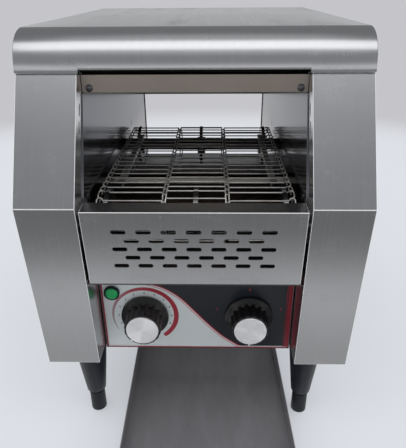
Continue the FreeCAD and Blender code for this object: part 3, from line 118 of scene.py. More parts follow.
class Finish:
    """A material, or the world, whose nodes are written as expressions."""

    def __init__(self, name, tree=None):
        if tree is None:
            self.material = bpy.data.materials.new(name)
            self.material.use_nodes = True
            tree = self.material.node_tree
        self.tree = tree
        self.tree.nodes.clear()

    def node(self, kind, settings=None, sockets=None):
        node = self.tree.nodes.new(kind)
        for key, setting in (settings or {}).items():
            if key == "stops":
                set_stops(node.color_ramp, setting)
            else:
                setattr(node, key, setting)
        for key, item in (sockets or {}).items():
            if isinstance(item, Value):
                self.tree.links.new(item.socket, node.inputs[key])
            else:
                node.inputs[key].default_value = item
        return node

    def read(self, kind, output):
        """An output of an input node, such as a texture coordinate."""
        return Value(self, self.node(kind).outputs[output])

    def point(self):
        """The place on the piece, as a vector."""
        return self.read("ShaderNodeTexCoord", "Object")

    def attribute(self, name):
        node = self.node("ShaderNodeAttribute", {"attribute_name": name})
        return Value(self, node.outputs["Fac"])

    def parts_of(self, vector):
        node = self.node("ShaderNodeSeparateXYZ", None, {0: vector})
        return [Value(self, output) for output in node.outputs]

    def facing(self):
        """How much the surface looks along X, Y and Z, without its sign."""
        return [part.size() for part in self.parts_of(self.read("ShaderNodeNewGeometry", "Normal"))]

    def vector_sum(self, operation, first, second):
        node = self.node("ShaderNodeVectorMath", {"operation": operation}, {0: first, 1: second})
        return Value(self, node.outputs[0])

    def stretched(self, vector, factors):
        return self.vector_sum("MULTIPLY", vector, factors)

    def noise(self, vector, scale, detail=3.0, roughness=0.5):
        node = self.node("ShaderNodeTexNoise", None, {
            "Vector": vector, "Scale": scale, "Detail": detail, "Roughness": roughness})
        return Value(self, node.outputs["Fac"])

    def ramp(self, share, stops):
        node = self.node("ShaderNodeValToRGB", {"stops": stops}, {0: share})
        return Value(self, node.outputs["Color"])

    def mix(self, share, first, second):
        """One colour where share is 0 and the other where it is 1."""
        first_in, second_in, out = 6, 7, 2
        node = self.node("ShaderNodeMix", {"data_type": "RGBA"},
                         {0: share, first_in: first, second_in: second})
        return Value(self, node.outputs[out])

    def bump(self, height, depth, strength=1.0):
        node = self.node("ShaderNodeBump", None, {
            "Height": height, "Distance": depth, "Strength": strength})
        return Value(self, node.outputs[0])

    def layered(self, share, first, second):
        """One shader where share is 0 and the other where it is 1."""
        node = self.node("ShaderNodeMixShader", None, {0: share, 1: first, 2: second})
        return Value(self, node.outputs[0])

    def shader(self, kind, **sockets):
        named = {key.replace("_", " ").title().replace("Ior", "IOR"): item
                 for key, item in sockets.items()}
        return Value(self, self.node(kind, None, named).outputs[0])

    def surface(self, **sockets):
        shader = self.shader("ShaderNodeBsdfPrincipled", **sockets)
        self.node("ShaderNodeOutputMaterial", None, {"Surface": shader})
        return self.material


def set_stops(ramp, stops):
    while len(ramp.elements) < len(stops):
        ramp.elements.new(1.0)
    for element, (place, colour) in zip(ramp.elements, stops):
        element.position = place
        element.color = colour


def tone(red, green, blue):
    """A colour from its three screen levels, 0 to 255."""
    def linear(level):
        share = level / 255
        return share / 12.92 if share <= 0.04045 else ((share + 0.055) / 1.055) ** 2.4
    return (linear(red), linear(green), linear(blue), 1.0)


# Finishes

# Depths of the reliefs that a bump shows
LINE_DEPTH = 0.01 * MM
GRAIN_DEPTH = 0.02 * MM
CRUMB_DEPTH = 0.03 * MM
PEEL_DEPTH = 0.04 * MM

# Painted highlight on the rounded folds: its near-white colour
FOLD_HIGHLIGHT_STEEL = tone(250, 250, 252)
SCRATCHED_STEEL = tone(232, 233, 235)
# How much less metallic the painted fold highlight makes the steel
FOLD_HIGHLIGHT_SPREAD = 0.55
GRAIN_ACROSS = 2600
GRAIN_ALONG = 9
STREAKS = (420, 6, 6)
SMEARS = (30, 7, 60)
SCRATCHES = (900, 25, 60)


def brushed(name, colour, dark, rough=0.24):
    """Brushed sheet steel. Its grain runs front to back on top and up the upright faces. The
    rounded folds get a painted highlight, near-white and less metallic.
    """
    f = Finish(name)
    point = f.point()
    faces_x, _, _ = f.facing()
    upright = f.noise(f.stretched(point, (GRAIN_ACROSS, GRAIN_ALONG, GRAIN_ALONG)), 1.0, 2.0)
    sideways = f.noise(f.stretched(point, (GRAIN_ALONG, GRAIN_ACROSS, GRAIN_ALONG)), 1.0, 2.0)
    on_side = faces_x.ease(0.6, 0.8)
    grain = upright * (1 - on_side) + sideways * on_side
    streak = f.noise(f.stretched(point, STREAKS), 1.0, 3.0, 0.6)
    cloud = f.noise(point, 14.0, 4.0, 0.6)
    smear = f.noise(f.stretched(point, SMEARS), 1.0, 5.0, 0.65).ease(0.52, 0.75)
    scratch = f.noise(f.stretched(point, SCRATCHES), 1.0, 1.0).ease(0.76, 0.8)
    shade = grain * 0.4 + streak * 0.25 + cloud * 0.35
    base = f.mix(shade, dark, colour)
    base = f.mix(scratch * 0.3, base, SCRATCHED_STEEL)
    # Faces marked as folds get a painted highlight: near-white and less metallic
    highlit_fold = f.attribute("fold")
    base = f.mix(highlit_fold, base, FOLD_HIGHLIGHT_STEEL)
    roughness = grain * 0.1 + (rough - 0.05) + smear * 0.05
    return f.surface(base_color=base, metallic=1 - highlit_fold * FOLD_HIGHLIGHT_SPREAD, roughness=roughness,
                     normal=f.bump(grain, GRAIN_DEPTH, 0.3))


def rolled(name, colour, dark, rough=0.34):
    """Plain cold-rolled sheet: a faint grain and soft clouds."""
    f = Finish(name)
    point = f.point()
    grain = f.noise(f.stretched(point, (1500, 40, 300)), 1.0, 2.0)
    cloud = f.noise(point, 22.0, 5.0, 0.6)
    base = f.mix(grain * 0.4 + cloud * 0.6, dark, colour)
    return f.surface(base_color=base, metallic=1.0, roughness=cloud * 0.14 + (rough - 0.07),
                     normal=f.bump(grain, GRAIN_DEPTH, 0.3))


def sooted(name, colour, brown, rough=0.42):
    """Sheet that years of crumbs and heat have darkened in patches."""
    f = Finish(name)
    point = f.point()
    patch = f.noise(f.stretched(point, (22, 34, 22)), 1.0, 6.0, 0.65)
    crumb = f.noise(point, 620.0, 2.0)
    base = f.mix(patch.ease(0.42, 0.66), tone(*colour), tone(*brown))
    base = f.mix(crumb.ease(0.66, 0.74) * 0.5, base, tone(20, 18, 16))
    return f.surface(base_color=base, metallic=1.0, roughness=patch * 0.2 + (rough - 0.1),
                     normal=f.bump(crumb, CRUMB_DEPTH, 0.3))


# The walls turn brown from the upper of these heights down to the lower
HEAT_LINE_LOW = 225 * MM
HEAT_LINE_HIGH = 262 * MM
HEAT_LINE_WAVE = 20 * MM
# Dulls the walls where they are seen at a low angle
DULLED_SHINE = (0.58, 0.58, 0.59, 1)


def tunnel_sheet():
    """The inner walls: bright sheet that mirrors the tunnel, browned beside the belt."""
    f = Finish("tunnel_sheet_finish")
    point = f.point()
    _, _, up = f.parts_of(point)
    grain = f.noise(f.stretched(point, (1800, 14, 1800)), 1.0, 2.0)
    rise = f.noise(f.stretched(point, (700, 700, 6)), 1.0, 2.0)
    cloud = f.noise(point, 18.0, 4.0, 0.6)
    steel = f.mix(cloud * 0.6 + rise * 0.4, tone(126, 127, 132), tone(142, 143, 148))
    browned = f.mix(cloud, tone(164, 162, 166), tone(184, 182, 186))
    heat = 1 - (up + (cloud - 0.5) * HEAT_LINE_WAVE).ease(HEAT_LINE_LOW, HEAT_LINE_HIGH)
    return f.surface(base_color=f.mix(heat, steel, browned), metallic=1.0,
                     specular_tint=DULLED_SHINE, roughness=cloud * 0.06 + 0.13,
                     normal=f.bump(grain, LINE_DEPTH, 0.25))


def reflector_sheet():
    """Heater reflectors with straw and violet heat tints."""
    f = Finish("reflector_finish")
    point = f.point()
    cloud = f.noise(point, 26.0, 5.0, 0.65)
    tint = f.ramp(cloud, [(0.3, tone(124, 112, 100)), (0.55, tone(104, 86, 70)),
                          (0.75, tone(78, 68, 68))])
    return f.surface(base_color=tint, metallic=1.0, roughness=cloud * 0.2 + 0.24)


def quartz_tube():
    f = Finish("quartz_finish")
    point = f.point()
    cloud = f.noise(f.stretched(point, (60, 500, 500)), 1.0, 3.0)
    base = f.mix(cloud, tone(222, 217, 208), tone(244, 241, 235))
    return f.surface(base_color=base, roughness=cloud * 0.2 + 0.25, ior=1.46,
                     coat_weight=0.6)


def unglazed():
    f = Finish("ceramic_finish")
    point = f.point()
    speck = f.noise(point, 900.0, 2.0)
    base = f.mix(speck.ease(0.35, 0.7), tone(214, 209, 198), tone(238, 235, 227))
    return f.surface(base_color=base, roughness=0.72, normal=f.bump(speck, CRUMB_DEPTH, 0.5))


def drawn_wire():
    """Drawn wire, dulled by heat in bands, and darkened towards the rear by painted shade."""
    f = Finish("wire_finish")
    point = f.point()
    soot = f.noise(f.stretched(point, (55, 90, 90)), 1.0, 4.0, 0.6)
    _, back, _ = f.parts_of(point)
    # Heat-dulled bands in patches, plus painted shade that darkens the wire towards the rear
    soot_and_rear_shade = soot.ease(0.4, 0.75) * 0.35 + back.ease(0.0, 0.12) * 0.65
    base = f.mix(soot_and_rear_shade, tone(234, 231, 226), tone(104, 98, 92))
    return f.surface(base_color=base, metallic=0.75, roughness=soot * 0.16 + 0.3)


TOOL_LINES = 9000.0
DULL_SHARE = 0.82


def machined(name, colour, rings_along=0):
    """Turned steel with fine tool lines round its axis: 0 for X, 1 for Y."""
    f = Finish(name)
    point = f.point()
    along = f.parts_of(point)[rings_along]
    line = (along * TOOL_LINES).sine() * 0.5 + 0.5
    cloud = f.noise(point, 60.0, 3.0)
    base = f.mix(cloud, tone(*(level * DULL_SHARE for level in colour)), tone(*colour))
    return f.surface(base_color=base, metallic=1.0, roughness=cloud * 0.12 + 0.22,
                     normal=f.bump(line, LINE_DEPTH, 0.35))


def oiled_steel():
    f = Finish("chain_finish")
    point = f.point()
    oil = f.noise(point, 160.0, 4.0, 0.6)
    base = f.mix(oil.ease(0.35, 0.7), tone(122, 121, 120), tone(62, 57, 50))
    return f.surface(base_color=base, metallic=0.9, roughness=oil * 0.2 + 0.22)


def bronze():
    f = Finish("bush_finish")
    point = f.point()
    pore = f.noise(point, 1400.0, 2.0)
    base = f.mix(pore.ease(0.4, 0.65), tone(150, 118, 74), tone(190, 156, 104))
    return f.surface(base_color=base, metallic=1.0, roughness=0.38,
                     normal=f.bump(pore, GRAIN_DEPTH, 0.5))


def moulded(name, colour, rough=0.45, grain=0.4, shine=0.5):
    """Moulded plastic with a fine spark-eroded grain."""
    f = Finish(name)
    point = f.point()
    speck = f.noise(point, 2600.0, 2.0)
    wear = f.noise(point, 70.0, 5.0, 0.65)
    base = f.mix(wear.ease(0.35, 0.75), tone(*colour),
                 tone(*(level + 10 for level in colour)))
    return f.surface(base_color=base, roughness=wear * 0.18 + (rough - 0.09),
                     specular_ior_level=shine, normal=f.bump(speck, PEEL_DEPTH, grain))


def painted(name, colour, rough=0.4, shine=0.5):
    """Satin enamel on sheet, with a faint orange peel and rubbed lanes."""
    f = Finish(name)
    point = f.point()
    peel = f.noise(point, 420.0, 2.0)
    rub = f.noise(f.stretched(point, (26, 8, 26)), 1.0, 5.0, 0.7)
    base = f.mix(rub.ease(0.35, 0.8), tone(*colour), tone(*(level + 14 for level in colour)))
    return f.surface(base_color=base, roughness=rub * 0.16 + (rough - 0.08),
                     specular_ior_level=shine, normal=f.bump(peel, PEEL_DEPTH, 0.2))


GROOVES = 26000.0
GROOVE_TILT = 0.5


def spun_face(name, node):
    """Spun aluminium: grooves round the knob's axis, which spread a highlight into a fan."""
    low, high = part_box(node)
    centre = (low + high) / 2
    f = Finish(name)
    from_axis = f.vector_sum("SUBTRACT", f.point(), tuple(centre))
    outwards = f.stretched(from_axis, (1, 0, 1))
    across, _, up = f.parts_of(outwards)
    radius = (across ** 2 + up ** 2) ** 0.5
    groove = (radius * GROOVES).sine()
    wobble = f.noise(f.point(), 500.0, 3.0)
    unit = f.node("ShaderNodeVectorMath", {"operation": "NORMALIZE"}, {0: outwards})
    tilt = f.node("ShaderNodeVectorMath", {"operation": "SCALE"}, {
        0: Value(f, unit.outputs[0]), "Scale": groove * (wobble * 0.5 + 0.75) * GROOVE_TILT})
    facing = f.read("ShaderNodeNewGeometry", "Normal")
    leaning = f.vector_sum("ADD", facing, Value(f, tilt.outputs[0]))
    normal = f.node("ShaderNodeVectorMath", {"operation": "NORMALIZE"}, {0: leaning})
    base = f.mix(wobble, tone(240, 240, 243), tone(250, 250, 252))
    return f.surface(base_color=base, metallic=0.5, roughness=wobble * 0.06 + 0.18,
                     normal=Value(f, normal.outputs[0]))


def printed(name, colour, rough=0.42):
    """Screen-printed ink, a little uneven."""
    f = Finish(name)
    point = f.point()
    cloud = f.noise(point, 300.0, 3.0)
    base = f.mix(cloud, tone(*(level * 0.92 for level in colour)), tone(*colour))
    return f.surface(base_color=base, roughness=cloud * 0.1 + (rough - 0.05))


def silver_film():
    """The overlay's silver ground: a fine metallic film with a level grain."""
    f = Finish("overlay_finish")
    point = f.point()
    grain = f.noise(f.stretched(point, (60, 60, 2200)), 1.0, 2.0)
    fleck = f.noise(point, 3200.0, 1.0)
    base = f.mix(grain * 0.6 + fleck * 0.4, tone(212, 220, 221), tone(228, 235, 236))
    return f.surface(base_color=base, metallic=0.35, roughness=grain * 0.1 + 0.38)


def ring_ink():
    """The dial's arc, from pale mauve to deep red along its length."""
    f = Finish("arc_ink")
    share = f.attribute("along")
    cloud = f.noise(f.point(), 300.0, 3.0)
    ink = f.ramp(share + (cloud - 0.5) * 0.03, [
        (0.0, tone(172, 166, 170)), (0.2, tone(168, 132, 142)), (0.38, tone(158, 66, 80)),
        (0.55, tone(150, 28, 46)), (1.0, tone(156, 44, 60))])
    return f.surface(base_color=ink, roughness=0.42)


def lens_green():
    f = Finish("lens_finish")
    point = f.point()
    swirl = f.noise(point, 700.0, 3.0)
    base = f.mix(swirl, tone(10, 128, 66), tone(36, 186, 108))
    glow = f.mix(swirl, tone(6, 70, 34), tone(20, 122, 66))
    return f.surface(base_color=base, roughness=0.2, emission_color=glow,
                     emission_strength=0.2, coat_weight=0.5)


finishes = {
    "stainless": brushed("stainless_finish", tone(212, 213, 215), tone(192, 193, 196)),
    "tunnel_steel": tunnel_sheet(),
    "fascia": rolled("fascia_finish", tone(196, 186, 178), tone(176, 165, 156), 0.3),
    "plain_steel": rolled("plain_steel_finish", tone(176, 177, 180), tone(148, 149, 152)),
    "dark_sheet": sooted("dark_sheet_finish", (58, 56, 57), (40, 35, 33), 0.5),
    # The ceiling plate's finish: soot patches and crumbs on a near-black tone, which paints the
    # shade of the gap under the hood
    "shaded_gap_sheet": sooted("gap_sheet_finish", (46, 45, 46), (30, 28, 28), 0.6),
    "rail_sheet": rolled("rail_finish", tone(204, 204, 204), tone(168, 166, 164), 0.4),
    "reflector": reflector_sheet(),
    "quartz": quartz_tube(),
    "ceramic": unglazed(),
    "wire": drawn_wire(),
    "machined_steel": machined("machined_finish", (150, 150, 152)),
    "bronze": bronze(),
    "chain_steel": oiled_steel(),
    "motor_paint": painted("motor_finish", (52, 53, 56)),
    "black_plastic": moulded("black_plastic_finish", (17, 22, 33), 0.45, 0.4, 0.25),
    "foot_plastic": moulded("foot_finish", (10, 14, 23), 0.55, 0.6, 0.25),
    "knob_plastic": moulded("knob_finish", (20, 20, 22), 0.3, 0.12, 0.5),
    "speed_cap": spun_face("speed_cap_finish", "speed_knob_cap"),
    "selector_cap": spun_face("selector_cap_finish", "selector_knob_cap"),
    "overlay": silver_film(),
    "black_ink": printed("black_ink", (30, 35, 42), 0.3),
    "red_ink": printed("red_ink", (176, 52, 68)),
    "deep_red_ink": printed("deep_red_ink", (146, 26, 44)),
    "pale_ink": printed("pale_ink", (214, 206, 208)),
    "mark_ink": printed("mark_ink", (38, 40, 48)),
    "white_ink": printed("white_ink", (240, 240, 240), 0.5),
    "arc_ink": ring_ink(),
    "panel_steel": rolled("panel_steel_finish", tone(126, 120, 122), tone(96, 92, 95), 0.32),
    "lens": lens_green(),
    "tray_coat": painted("tray_finish", (116, 115, 119), 0.3, 0.6),
    "screw_steel": machined("screw_finish", (206, 207, 210), 1),
    "dark_screw": machined("dark_screw_finish", (120, 120, 122), 1),
}

# Mesh tools

TINY = 1e-7
SMOOTH_BELOW = 35


def new_piece(name, vertices, faces, smooth_below=SMOOTH_BELOW):
    """A mesh object with closed, outward faces."""
    mesh = bpy.data.meshes.new(name)
    mesh.from_pydata([tuple(v) for v in vertices], [], faces)
    made = bmesh.new()
    made.from_mesh(mesh)
    bmesh.ops.remove_doubles(made, verts=made.verts, dist=TINY)
    bmesh.ops.recalc_face_normals(made, faces=made.faces)
    made.to_mesh(mesh)
    made.free()
    return show(mesh, name, smooth_below)


def show(mesh, name, smooth_below=SMOOTH_BELOW):
    piece = bpy.data.objects.new(name, mesh)
    bpy.context.scene.collection.objects.link(piece)
    mesh.shade_smooth()
    mesh.set_sharp_from_angle(angle=math.radians(smooth_below))
    return piece


def settle(piece, finish, body, slot, *nodes):
    """Gives a piece its finish and its place in the model."""
    piece.data.materials.clear()
    piece.data.materials.append(finishes[finish])
    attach(piece, body)
    if nodes:
        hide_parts(*nodes)
    return piece


SHEET = 1.0 * MM
WIDE_FACE = 1.6 * SHEET
SHARP = math.radians(28)
LEVEL = math.radians(0.5)
ONE_PLANE = math.radians(0.4)
MERGED = 0.002 * MM


def face_width(face):
    return face.calc_area() / max(edge.calc_length() for edge in face.edges)


def sharp_edges(made, folds_only):
    """The edges that turn sharply. A fold has a wide face on both sides and turns outwards."""
    found = []
    for edge in made.edges:
        if len(edge.link_faces) != 2 or edge.calc_face_angle() < SHARP:
            continue
        wide = min(face_width(face) for face in edge.link_faces) > WIDE_FACE
        if folds_only and not (wide and edge.is_convex):
            continue
        found.append(edge)
    return found


def lies_flat(face):
    """A flat sheet's face: every neighbour is in its plane or turns sharply away."""
    turns = [edge.calc_face_angle(0) for edge in face.edges]
    return all(turn < LEVEL or turn >= SHARP for turn in turns)


def softened(node, finish, body, slot, fold, rim, reshape=None):
    """A copy of a node with rounded folds and rims, which stands for it. Its rounded folds are
    marked for the brushed finish's painted highlight.
    """
    made = bmesh.new()
    made.from_mesh(frame["nodes"][node].data)
    bmesh.ops.remove_doubles(made, verts=made.verts, dist=MERGED)
    bmesh.ops.dissolve_limit(made, angle_limit=ONE_PLANE, verts=made.verts,
                             edges=made.edges, use_dissolve_boundaries=False)
    if reshape:
        reshape(made)
    # A layer that marks the rounded folds, which the brushed finish paints with a highlight
    highlit_fold = made.faces.layers.float.new("fold")
    flat = made.faces.layers.int.new("flat")
    for face in made.faces:
        face[flat] = lies_flat(face)
    for width, steps, folds_only in ((fold, 4, True), (rim, 2, False)):
        if width:
            found = bmesh.ops.bevel(made, geom=sharp_edges(made, folds_only), offset=width,
                                    offset_type="OFFSET", segments=steps, profile=0.5,
                                    affect="EDGES", clamp_overlap=True)
            for face in found["faces"]:
                face[flat] = 0
                face[highlit_fold] = 1.0 if folds_only else face[highlit_fold]
    mesh = bpy.data.meshes.new(f"{node}_piece")
    made.to_mesh(mesh)
    made.free()
    piece = show(mesh, mesh.name, 40)
    for face, level in zip(mesh.polygons, mesh.attributes["flat"].data):
        face.use_smooth = not level.value
    return settle(piece, finish, body, slot, node)


def lathe(name, centre, profile, around, wave=None):
    """A closed outline of reach and radius, turned about the front to back line through centre."""
    vertices = []
    rings = []
    for reach, radius in profile:
        ring = []
        for step in range(1 if radius < TINY else around):
            angle = 2 * math.pi * step / around
            here = wave(angle, reach, radius) if wave else radius
            spot = Vector((here * math.sin(angle), reach, here * math.cos(angle)))
            ring.append(len(vertices))
            vertices.append(spot + centre)
        rings.append(ring)
    faces = []
    for ring, other in zip(rings, rings[1:] + rings[:1]):
        if len(ring) == 1 and len(other) == 1:
            continue
        for step in range(around):
            after = (step + 1) % around
            if len(ring) == 1:
                faces.append((ring[0], other[after], other[step]))
            elif len(other) == 1:
                faces.append((ring[step], ring[after], other[0]))
            else:
                faces.append((ring[step], ring[after], other[after], other[step]))
    return new_piece(name, vertices, faces)


def arc(centre, radius, start, end, steps):
    """Points on an arc, with its angles in degrees."""
    spots = []
    for step in range(steps + 1):
        angle = math.radians(start + (end - start) * step / steps)
        spots.append((centre[0] + radius * math.cos(angle), centre[1] + radius * math.sin(angle)))
    return spots


def circle(radius, around):
    """Points round the origin, without the first one again at the end."""
    return arc((0, 0), radius, 0, 360 * (around - 1) / around, around - 1)


def rounded(front, radius, bevel, steps):
    """The quarter turn of an outline from the side of a turned piece to its front face."""
    spots = []
    for step in range(steps + 1):
        turn = math.radians(90 * step / steps)
        spots.append((front + bevel - bevel * math.sin(turn),
                      radius - bevel + bevel * math.cos(turn)))
    return spots


def button(name, radius, height, rings, around):
    """A round face towards the front whose height is a rule of its place, closed behind."""
    vertices = [(0, -height(0, 0), 0)]
    for ring in range(1, rings + 1):
        for x, z in circle(radius * ring / rings, around):
            vertices.append((x, -height(x, z), z))
    for x, z in circle(radius, around):
        vertices.append((x, 0, z))
    vertices.append((0, 0, 0))
    faces = []
    for step in range(around):
        after = (step + 1) % around
        faces.append((0, 1 + step, 1 + after))
        for ring in range(rings):
            low = 1 + ring * around
            high = low + around
            faces.append((low + step, high + step, high + after, low + after))
        last = 1 + rings * around
        faces.append((last + step, len(vertices) - 1, last + after))
    return new_piece(name, vertices, faces, 50)


def slab(name, outline, front, back, smooth_below=SMOOTH_BELOW):
    """A flat plate that faces the front: an outline in X and Z between two Y levels."""
    count = len(outline)
    vertices = [(x, front, z) for x, z in outline] + [(x, back, z) for x, z in outline]
    faces = [tuple(range(count)), tuple(range(2 * count - 1, count - 1, -1))]
    faces += [(i, (i + 1) % count, count + (i + 1) % count, count + i) for i in range(count)]
    return new_piece(name, vertices, faces, smooth_below)


def joined(name, pieces, smooth_below=SMOOTH_BELOW):
    """Several meshes as one piece."""
    made = bmesh.new()
    for piece in pieces:
        made.from_mesh(piece.data)
        bpy.data.objects.remove(piece)
    mesh = bpy.data.meshes.new(name)
    made.to_mesh(mesh)
    made.free()
    return show(mesh, name, smooth_below)


# Repeats


class Tree:
    """A geometry tree with named inputs, which ends in plain faces of one material."""

    def __init__(self, name, inputs):
        self.group = bpy.data.node_groups.new(name, "GeometryNodeTree")
        self.ids = {}
        for label, kind in inputs.items():
            socket = self.group.interface.new_socket(label, in_out="INPUT", socket_type=kind)
            self.ids[label] = socket.identifier
        self.group.interface.new_socket("Mesh", in_out="OUTPUT",
                                        socket_type="NodeSocketGeometry")
        self.start = self.group.nodes.new("NodeGroupInput")

    def value(self, label):
        return self.start.outputs[label]

    def node(self, kind, settings=None, sockets=None):
        node = self.group.nodes.new(kind)
        for key, setting in (settings or {}).items():
            setattr(node, key, setting)
        for key, item in (sockets or {}).items():
            if isinstance(item, bpy.types.NodeSocket):
                self.group.links.new(item, node.inputs[key])
            else:
                node.inputs[key].default_value = item
        return node

    def end(self, geometry):
        plain = self.node("GeometryNodeRealizeInstances", None, {"Geometry": geometry})
        coat = self.node("GeometryNodeSetMaterial", None, {
            "Geometry": plain.outputs[0], "Material": self.value("Material")})
        out = self.group.nodes.new("NodeGroupOutput")
        self.group.links.new(coat.outputs[0], out.inputs[0])

    def grow(self, name, carrier, values, smooth_below=SMOOTH_BELOW):
        """Runs the tree on a carrier mesh and keeps the result as a plain mesh."""
        holder = bpy.data.objects.new(f"{name}_carrier", carrier)
        bpy.context.scene.collection.objects.link(holder)
        modifier = holder.modifiers.new("repeats", "NODES")
        modifier.node_group = self.group
        for label, item in values.items():
            modifier[self.ids[label]] = item
        graph = bpy.context.evaluated_depsgraph_get()
        mesh = bpy.data.meshes.new_from_object(holder.evaluated_get(graph),
                                               preserve_all_data_layers=True, depsgraph=graph)
        mesh.name = name
        holder.modifiers.remove(modifier)
        bpy.data.objects.remove(holder)
        return show(mesh, name, smooth_below)


def copies_tree():
    """Puts a pattern at every point of the carrier, turned by the point's own angles."""
    tree = Tree("copies", {"Points": "NodeSocketGeometry", "Pattern": "NodeSocketObject",
                           "Scale": "NodeSocketFloat", "Material": "NodeSocketMaterial"})
    pattern = tree.node("GeometryNodeObjectInfo", {"transform_space": "ORIGINAL"},
                        {"Object": tree.value("Pattern")})
    turn = tree.node("GeometryNodeInputNamedAttribute", {"data_type": "FLOAT_VECTOR"},
                     {"Name": "turn"})
    copies = tree.node("GeometryNodeInstanceOnPoints", None, {
        "Points": tree.value("Points"), "Instance": pattern.outputs["Geometry"],
        "Rotation": turn.outputs["Attribute"], "Scale": tree.value("Scale")})
    tree.end(copies.outputs[0])
    return tree


def wire_tree():
    """A bent round wire along the carrier's edges, with its corners rounded."""
    tree = Tree("bent_wire", {"Path": "NodeSocketGeometry", "Radius": "NodeSocketFloat",
                              "Bend": "NodeSocketFloat", "Sides": "NodeSocketInt",
                              "Bend steps": "NodeSocketInt",
                              "Material": "NodeSocketMaterial"})
    path = tree.node("GeometryNodeMeshToCurve", None, {"Mesh": tree.value("Path")})
    bent = tree.node("GeometryNodeFilletCurve", {"mode": "POLY"}, {
        "Curve": path.outputs[0], "Radius": tree.value("Bend"), "Limit Radius": True,
        "Count": tree.value("Bend steps")})
    ring = tree.node("GeometryNodeCurvePrimitiveCircle", None, {
        "Resolution": tree.value("Sides"), "Radius": tree.value("Radius")})
    tube = tree.node("GeometryNodeCurveToMesh", None, {
        "Curve": bent.outputs[0], "Profile Curve": ring.outputs[0], "Fill Caps": True})
    tree.end(tube.outputs[0])
    return tree


copies = copies_tree()
bent_wire = wire_tree()


def carrier(name, points, turns):
    """Loose points that each hold the angles of the copy they carry."""
    mesh = bpy.data.meshes.new(name)
    mesh.from_pydata([tuple(p) for p in points], [], [])
    turn = mesh.attributes.new("turn", "FLOAT_VECTOR", "POINT")
    turn.data.foreach_set("vector", [angle for spin in turns for angle in spin])
    return mesh


def repeated(name, pattern, points, turns, finish, smooth_below=SMOOTH_BELOW):
    """Copies of one pattern piece as a single plain mesh."""
    piece = copies.grow(name, carrier(f"{name}_points", points, turns), {
        "Pattern": pattern, "Scale": 1.0, "Material": finishes[finish]}, smooth_below)
    bpy.data.objects.remove(pattern)
    return piece


def wire(name, points, radius, bend, sides=8, steps=3):
    """One bent wire through the points."""
    path = bpy.data.meshes.new(f"{name}_path")
    edges = [(i, i + 1) for i in range(len(points) - 1)]
    path.from_pydata([tuple(p) for p in points], edges, [])
    return bent_wire.grow(name, path, {"Radius": radius, "Bend": bend, "Sides": sides,
                                       "Bend steps": steps, "Material": finishes["wire"]}, 60)


slots = {row["node"]: row["material_slot"] for row in frame["record"]["subparts"]}
bodies = {node: body for body, members in frame["record"]["behaviour"]["bodies"].items()
          for node in members}

# Casing

HOOD_BEND = 31.5 * MM
HOOD_REAR_BEND = 5 * MM
HOOD_EDGE = 0.9 * MM
LIP_CUT = 2.5 * MM
LIP_CUT_HALF = 92.5 * MM
LIP_CUT_STEP = 0.05 * MM
LIP_ROLL = 1.3 * MM
LIP_ROLL_SHARES = [(0.5, 0), (0.14, 0.4)]
BEND_STEPS = 32
REAR_BEND_STEPS = 8
EDGE_STEPS = 4


def hood_profile(low, high, inset, lift):
    """The hood's outline from its front lower edge over the top to its rear lower edge."""
    front = low.y + inset
    back = high.y - inset
    top = high.z - inset
    bend = HOOD_BEND - inset
    rear = HOOD_REAR_BEND - inset
    bottom = low.z + lift
    above = max(bottom + LIP_ROLL - (top - bend), 0) / bend
    first = 180 - math.degrees(math.asin(above))
    lip = front + bend * (1 - math.sqrt(1 - above ** 2))
    points = [(lip + LIP_ROLL * inwards, bottom + LIP_ROLL * up) for inwards, up in LIP_ROLL_SHARES]
    points += arc((front + bend, top - bend), bend, first, 90, BEND_STEPS)
    points.append(((front + back) / 2, top))
    points += arc((back - rear, top - rear), rear, 90, 0, REAR_BEND_STEPS)
    points.append((back, low.z))
    return points


def hood_cover():
    """The top cover: a large front bend, folded sides and a lip cut back over the tunnel."""
    low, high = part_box("hood")
    rounding = [(high.x - HOOD_EDGE + x, HOOD_EDGE - z)
                for x, z in arc((0, 0), HOOD_EDGE, 90, 0, EDGE_STEPS)]
    right = [(LIP_CUT_HALF - LIP_CUT_STEP, 0, LIP_CUT), (LIP_CUT_HALF, 0, 0)]
    right += [(x, inset, 0) for x, inset in rounding]
    sections = [(-x, inset, lift) for x, inset, lift in reversed(right)] + right
    rows = []
    vertices = []
    for x, inset, lift in sections:
        profile = hood_profile(low, high, inset, lift)
        rows.append(range(len(vertices), len(vertices) + len(profile)))
        vertices += [(x, y, z) for y, z in profile]
    faces = []
    for row, following in zip(rows, rows[1:]):
        faces += [(row[i], row[i + 1], following[i + 1], following[i])
                  for i in range(len(row) - 1)]
    faces.append(tuple(rows[0]))
    faces.append(tuple(reversed(rows[-1])))
    piece = new_piece("hood_cover", vertices, faces, 50)
    for face in piece.data.polygons:
        face.use_smooth = len(face.vertices) == 4
    thick = piece.modifiers.new("sheet", "SOLIDIFY")
    thick.thickness = SHEET
    thick.offset = -1
    thick.use_rim = True
    return settle(piece, "stainless", "root", "stainless", "hood")


FOLD = 0.8 * MM
RIM = 0.25 * MM
GUARD_RIM = 0.08 * MM
GUARD_LEAN = 5.8 * MM
GUARD_RISE = 71 * MM
SLOT_FIRST_ROW = 19.3 * MM
SLOT_ROW_PITCH = 8.33 * MM
SLOT_ROWS = 5
SLOT_WIDER = 1.22


def wider_slots(made):
    """Opens the guard's slots a little, each about its own row."""
    low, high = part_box("front_guard")
    upwards = Vector((0, -GUARD_LEAN, GUARD_RISE)).normalized()
    edge = 4 * MM
    for vertex in made.verts:
        rise = (vertex.co.z - low.z) / upwards.z
        row = round((rise - SLOT_FIRST_ROW) / SLOT_ROW_PITCH)
        centre = SLOT_FIRST_ROW + row * SLOT_ROW_PITCH
        inside = low.x + edge < vertex.co.x < high.x - edge
        if inside and 0 <= row < SLOT_ROWS and abs(rise - centre) < SLOT_ROW_PITCH / 3:
            vertex.co += upwards * (rise - centre) * (SLOT_WIDER - 1)


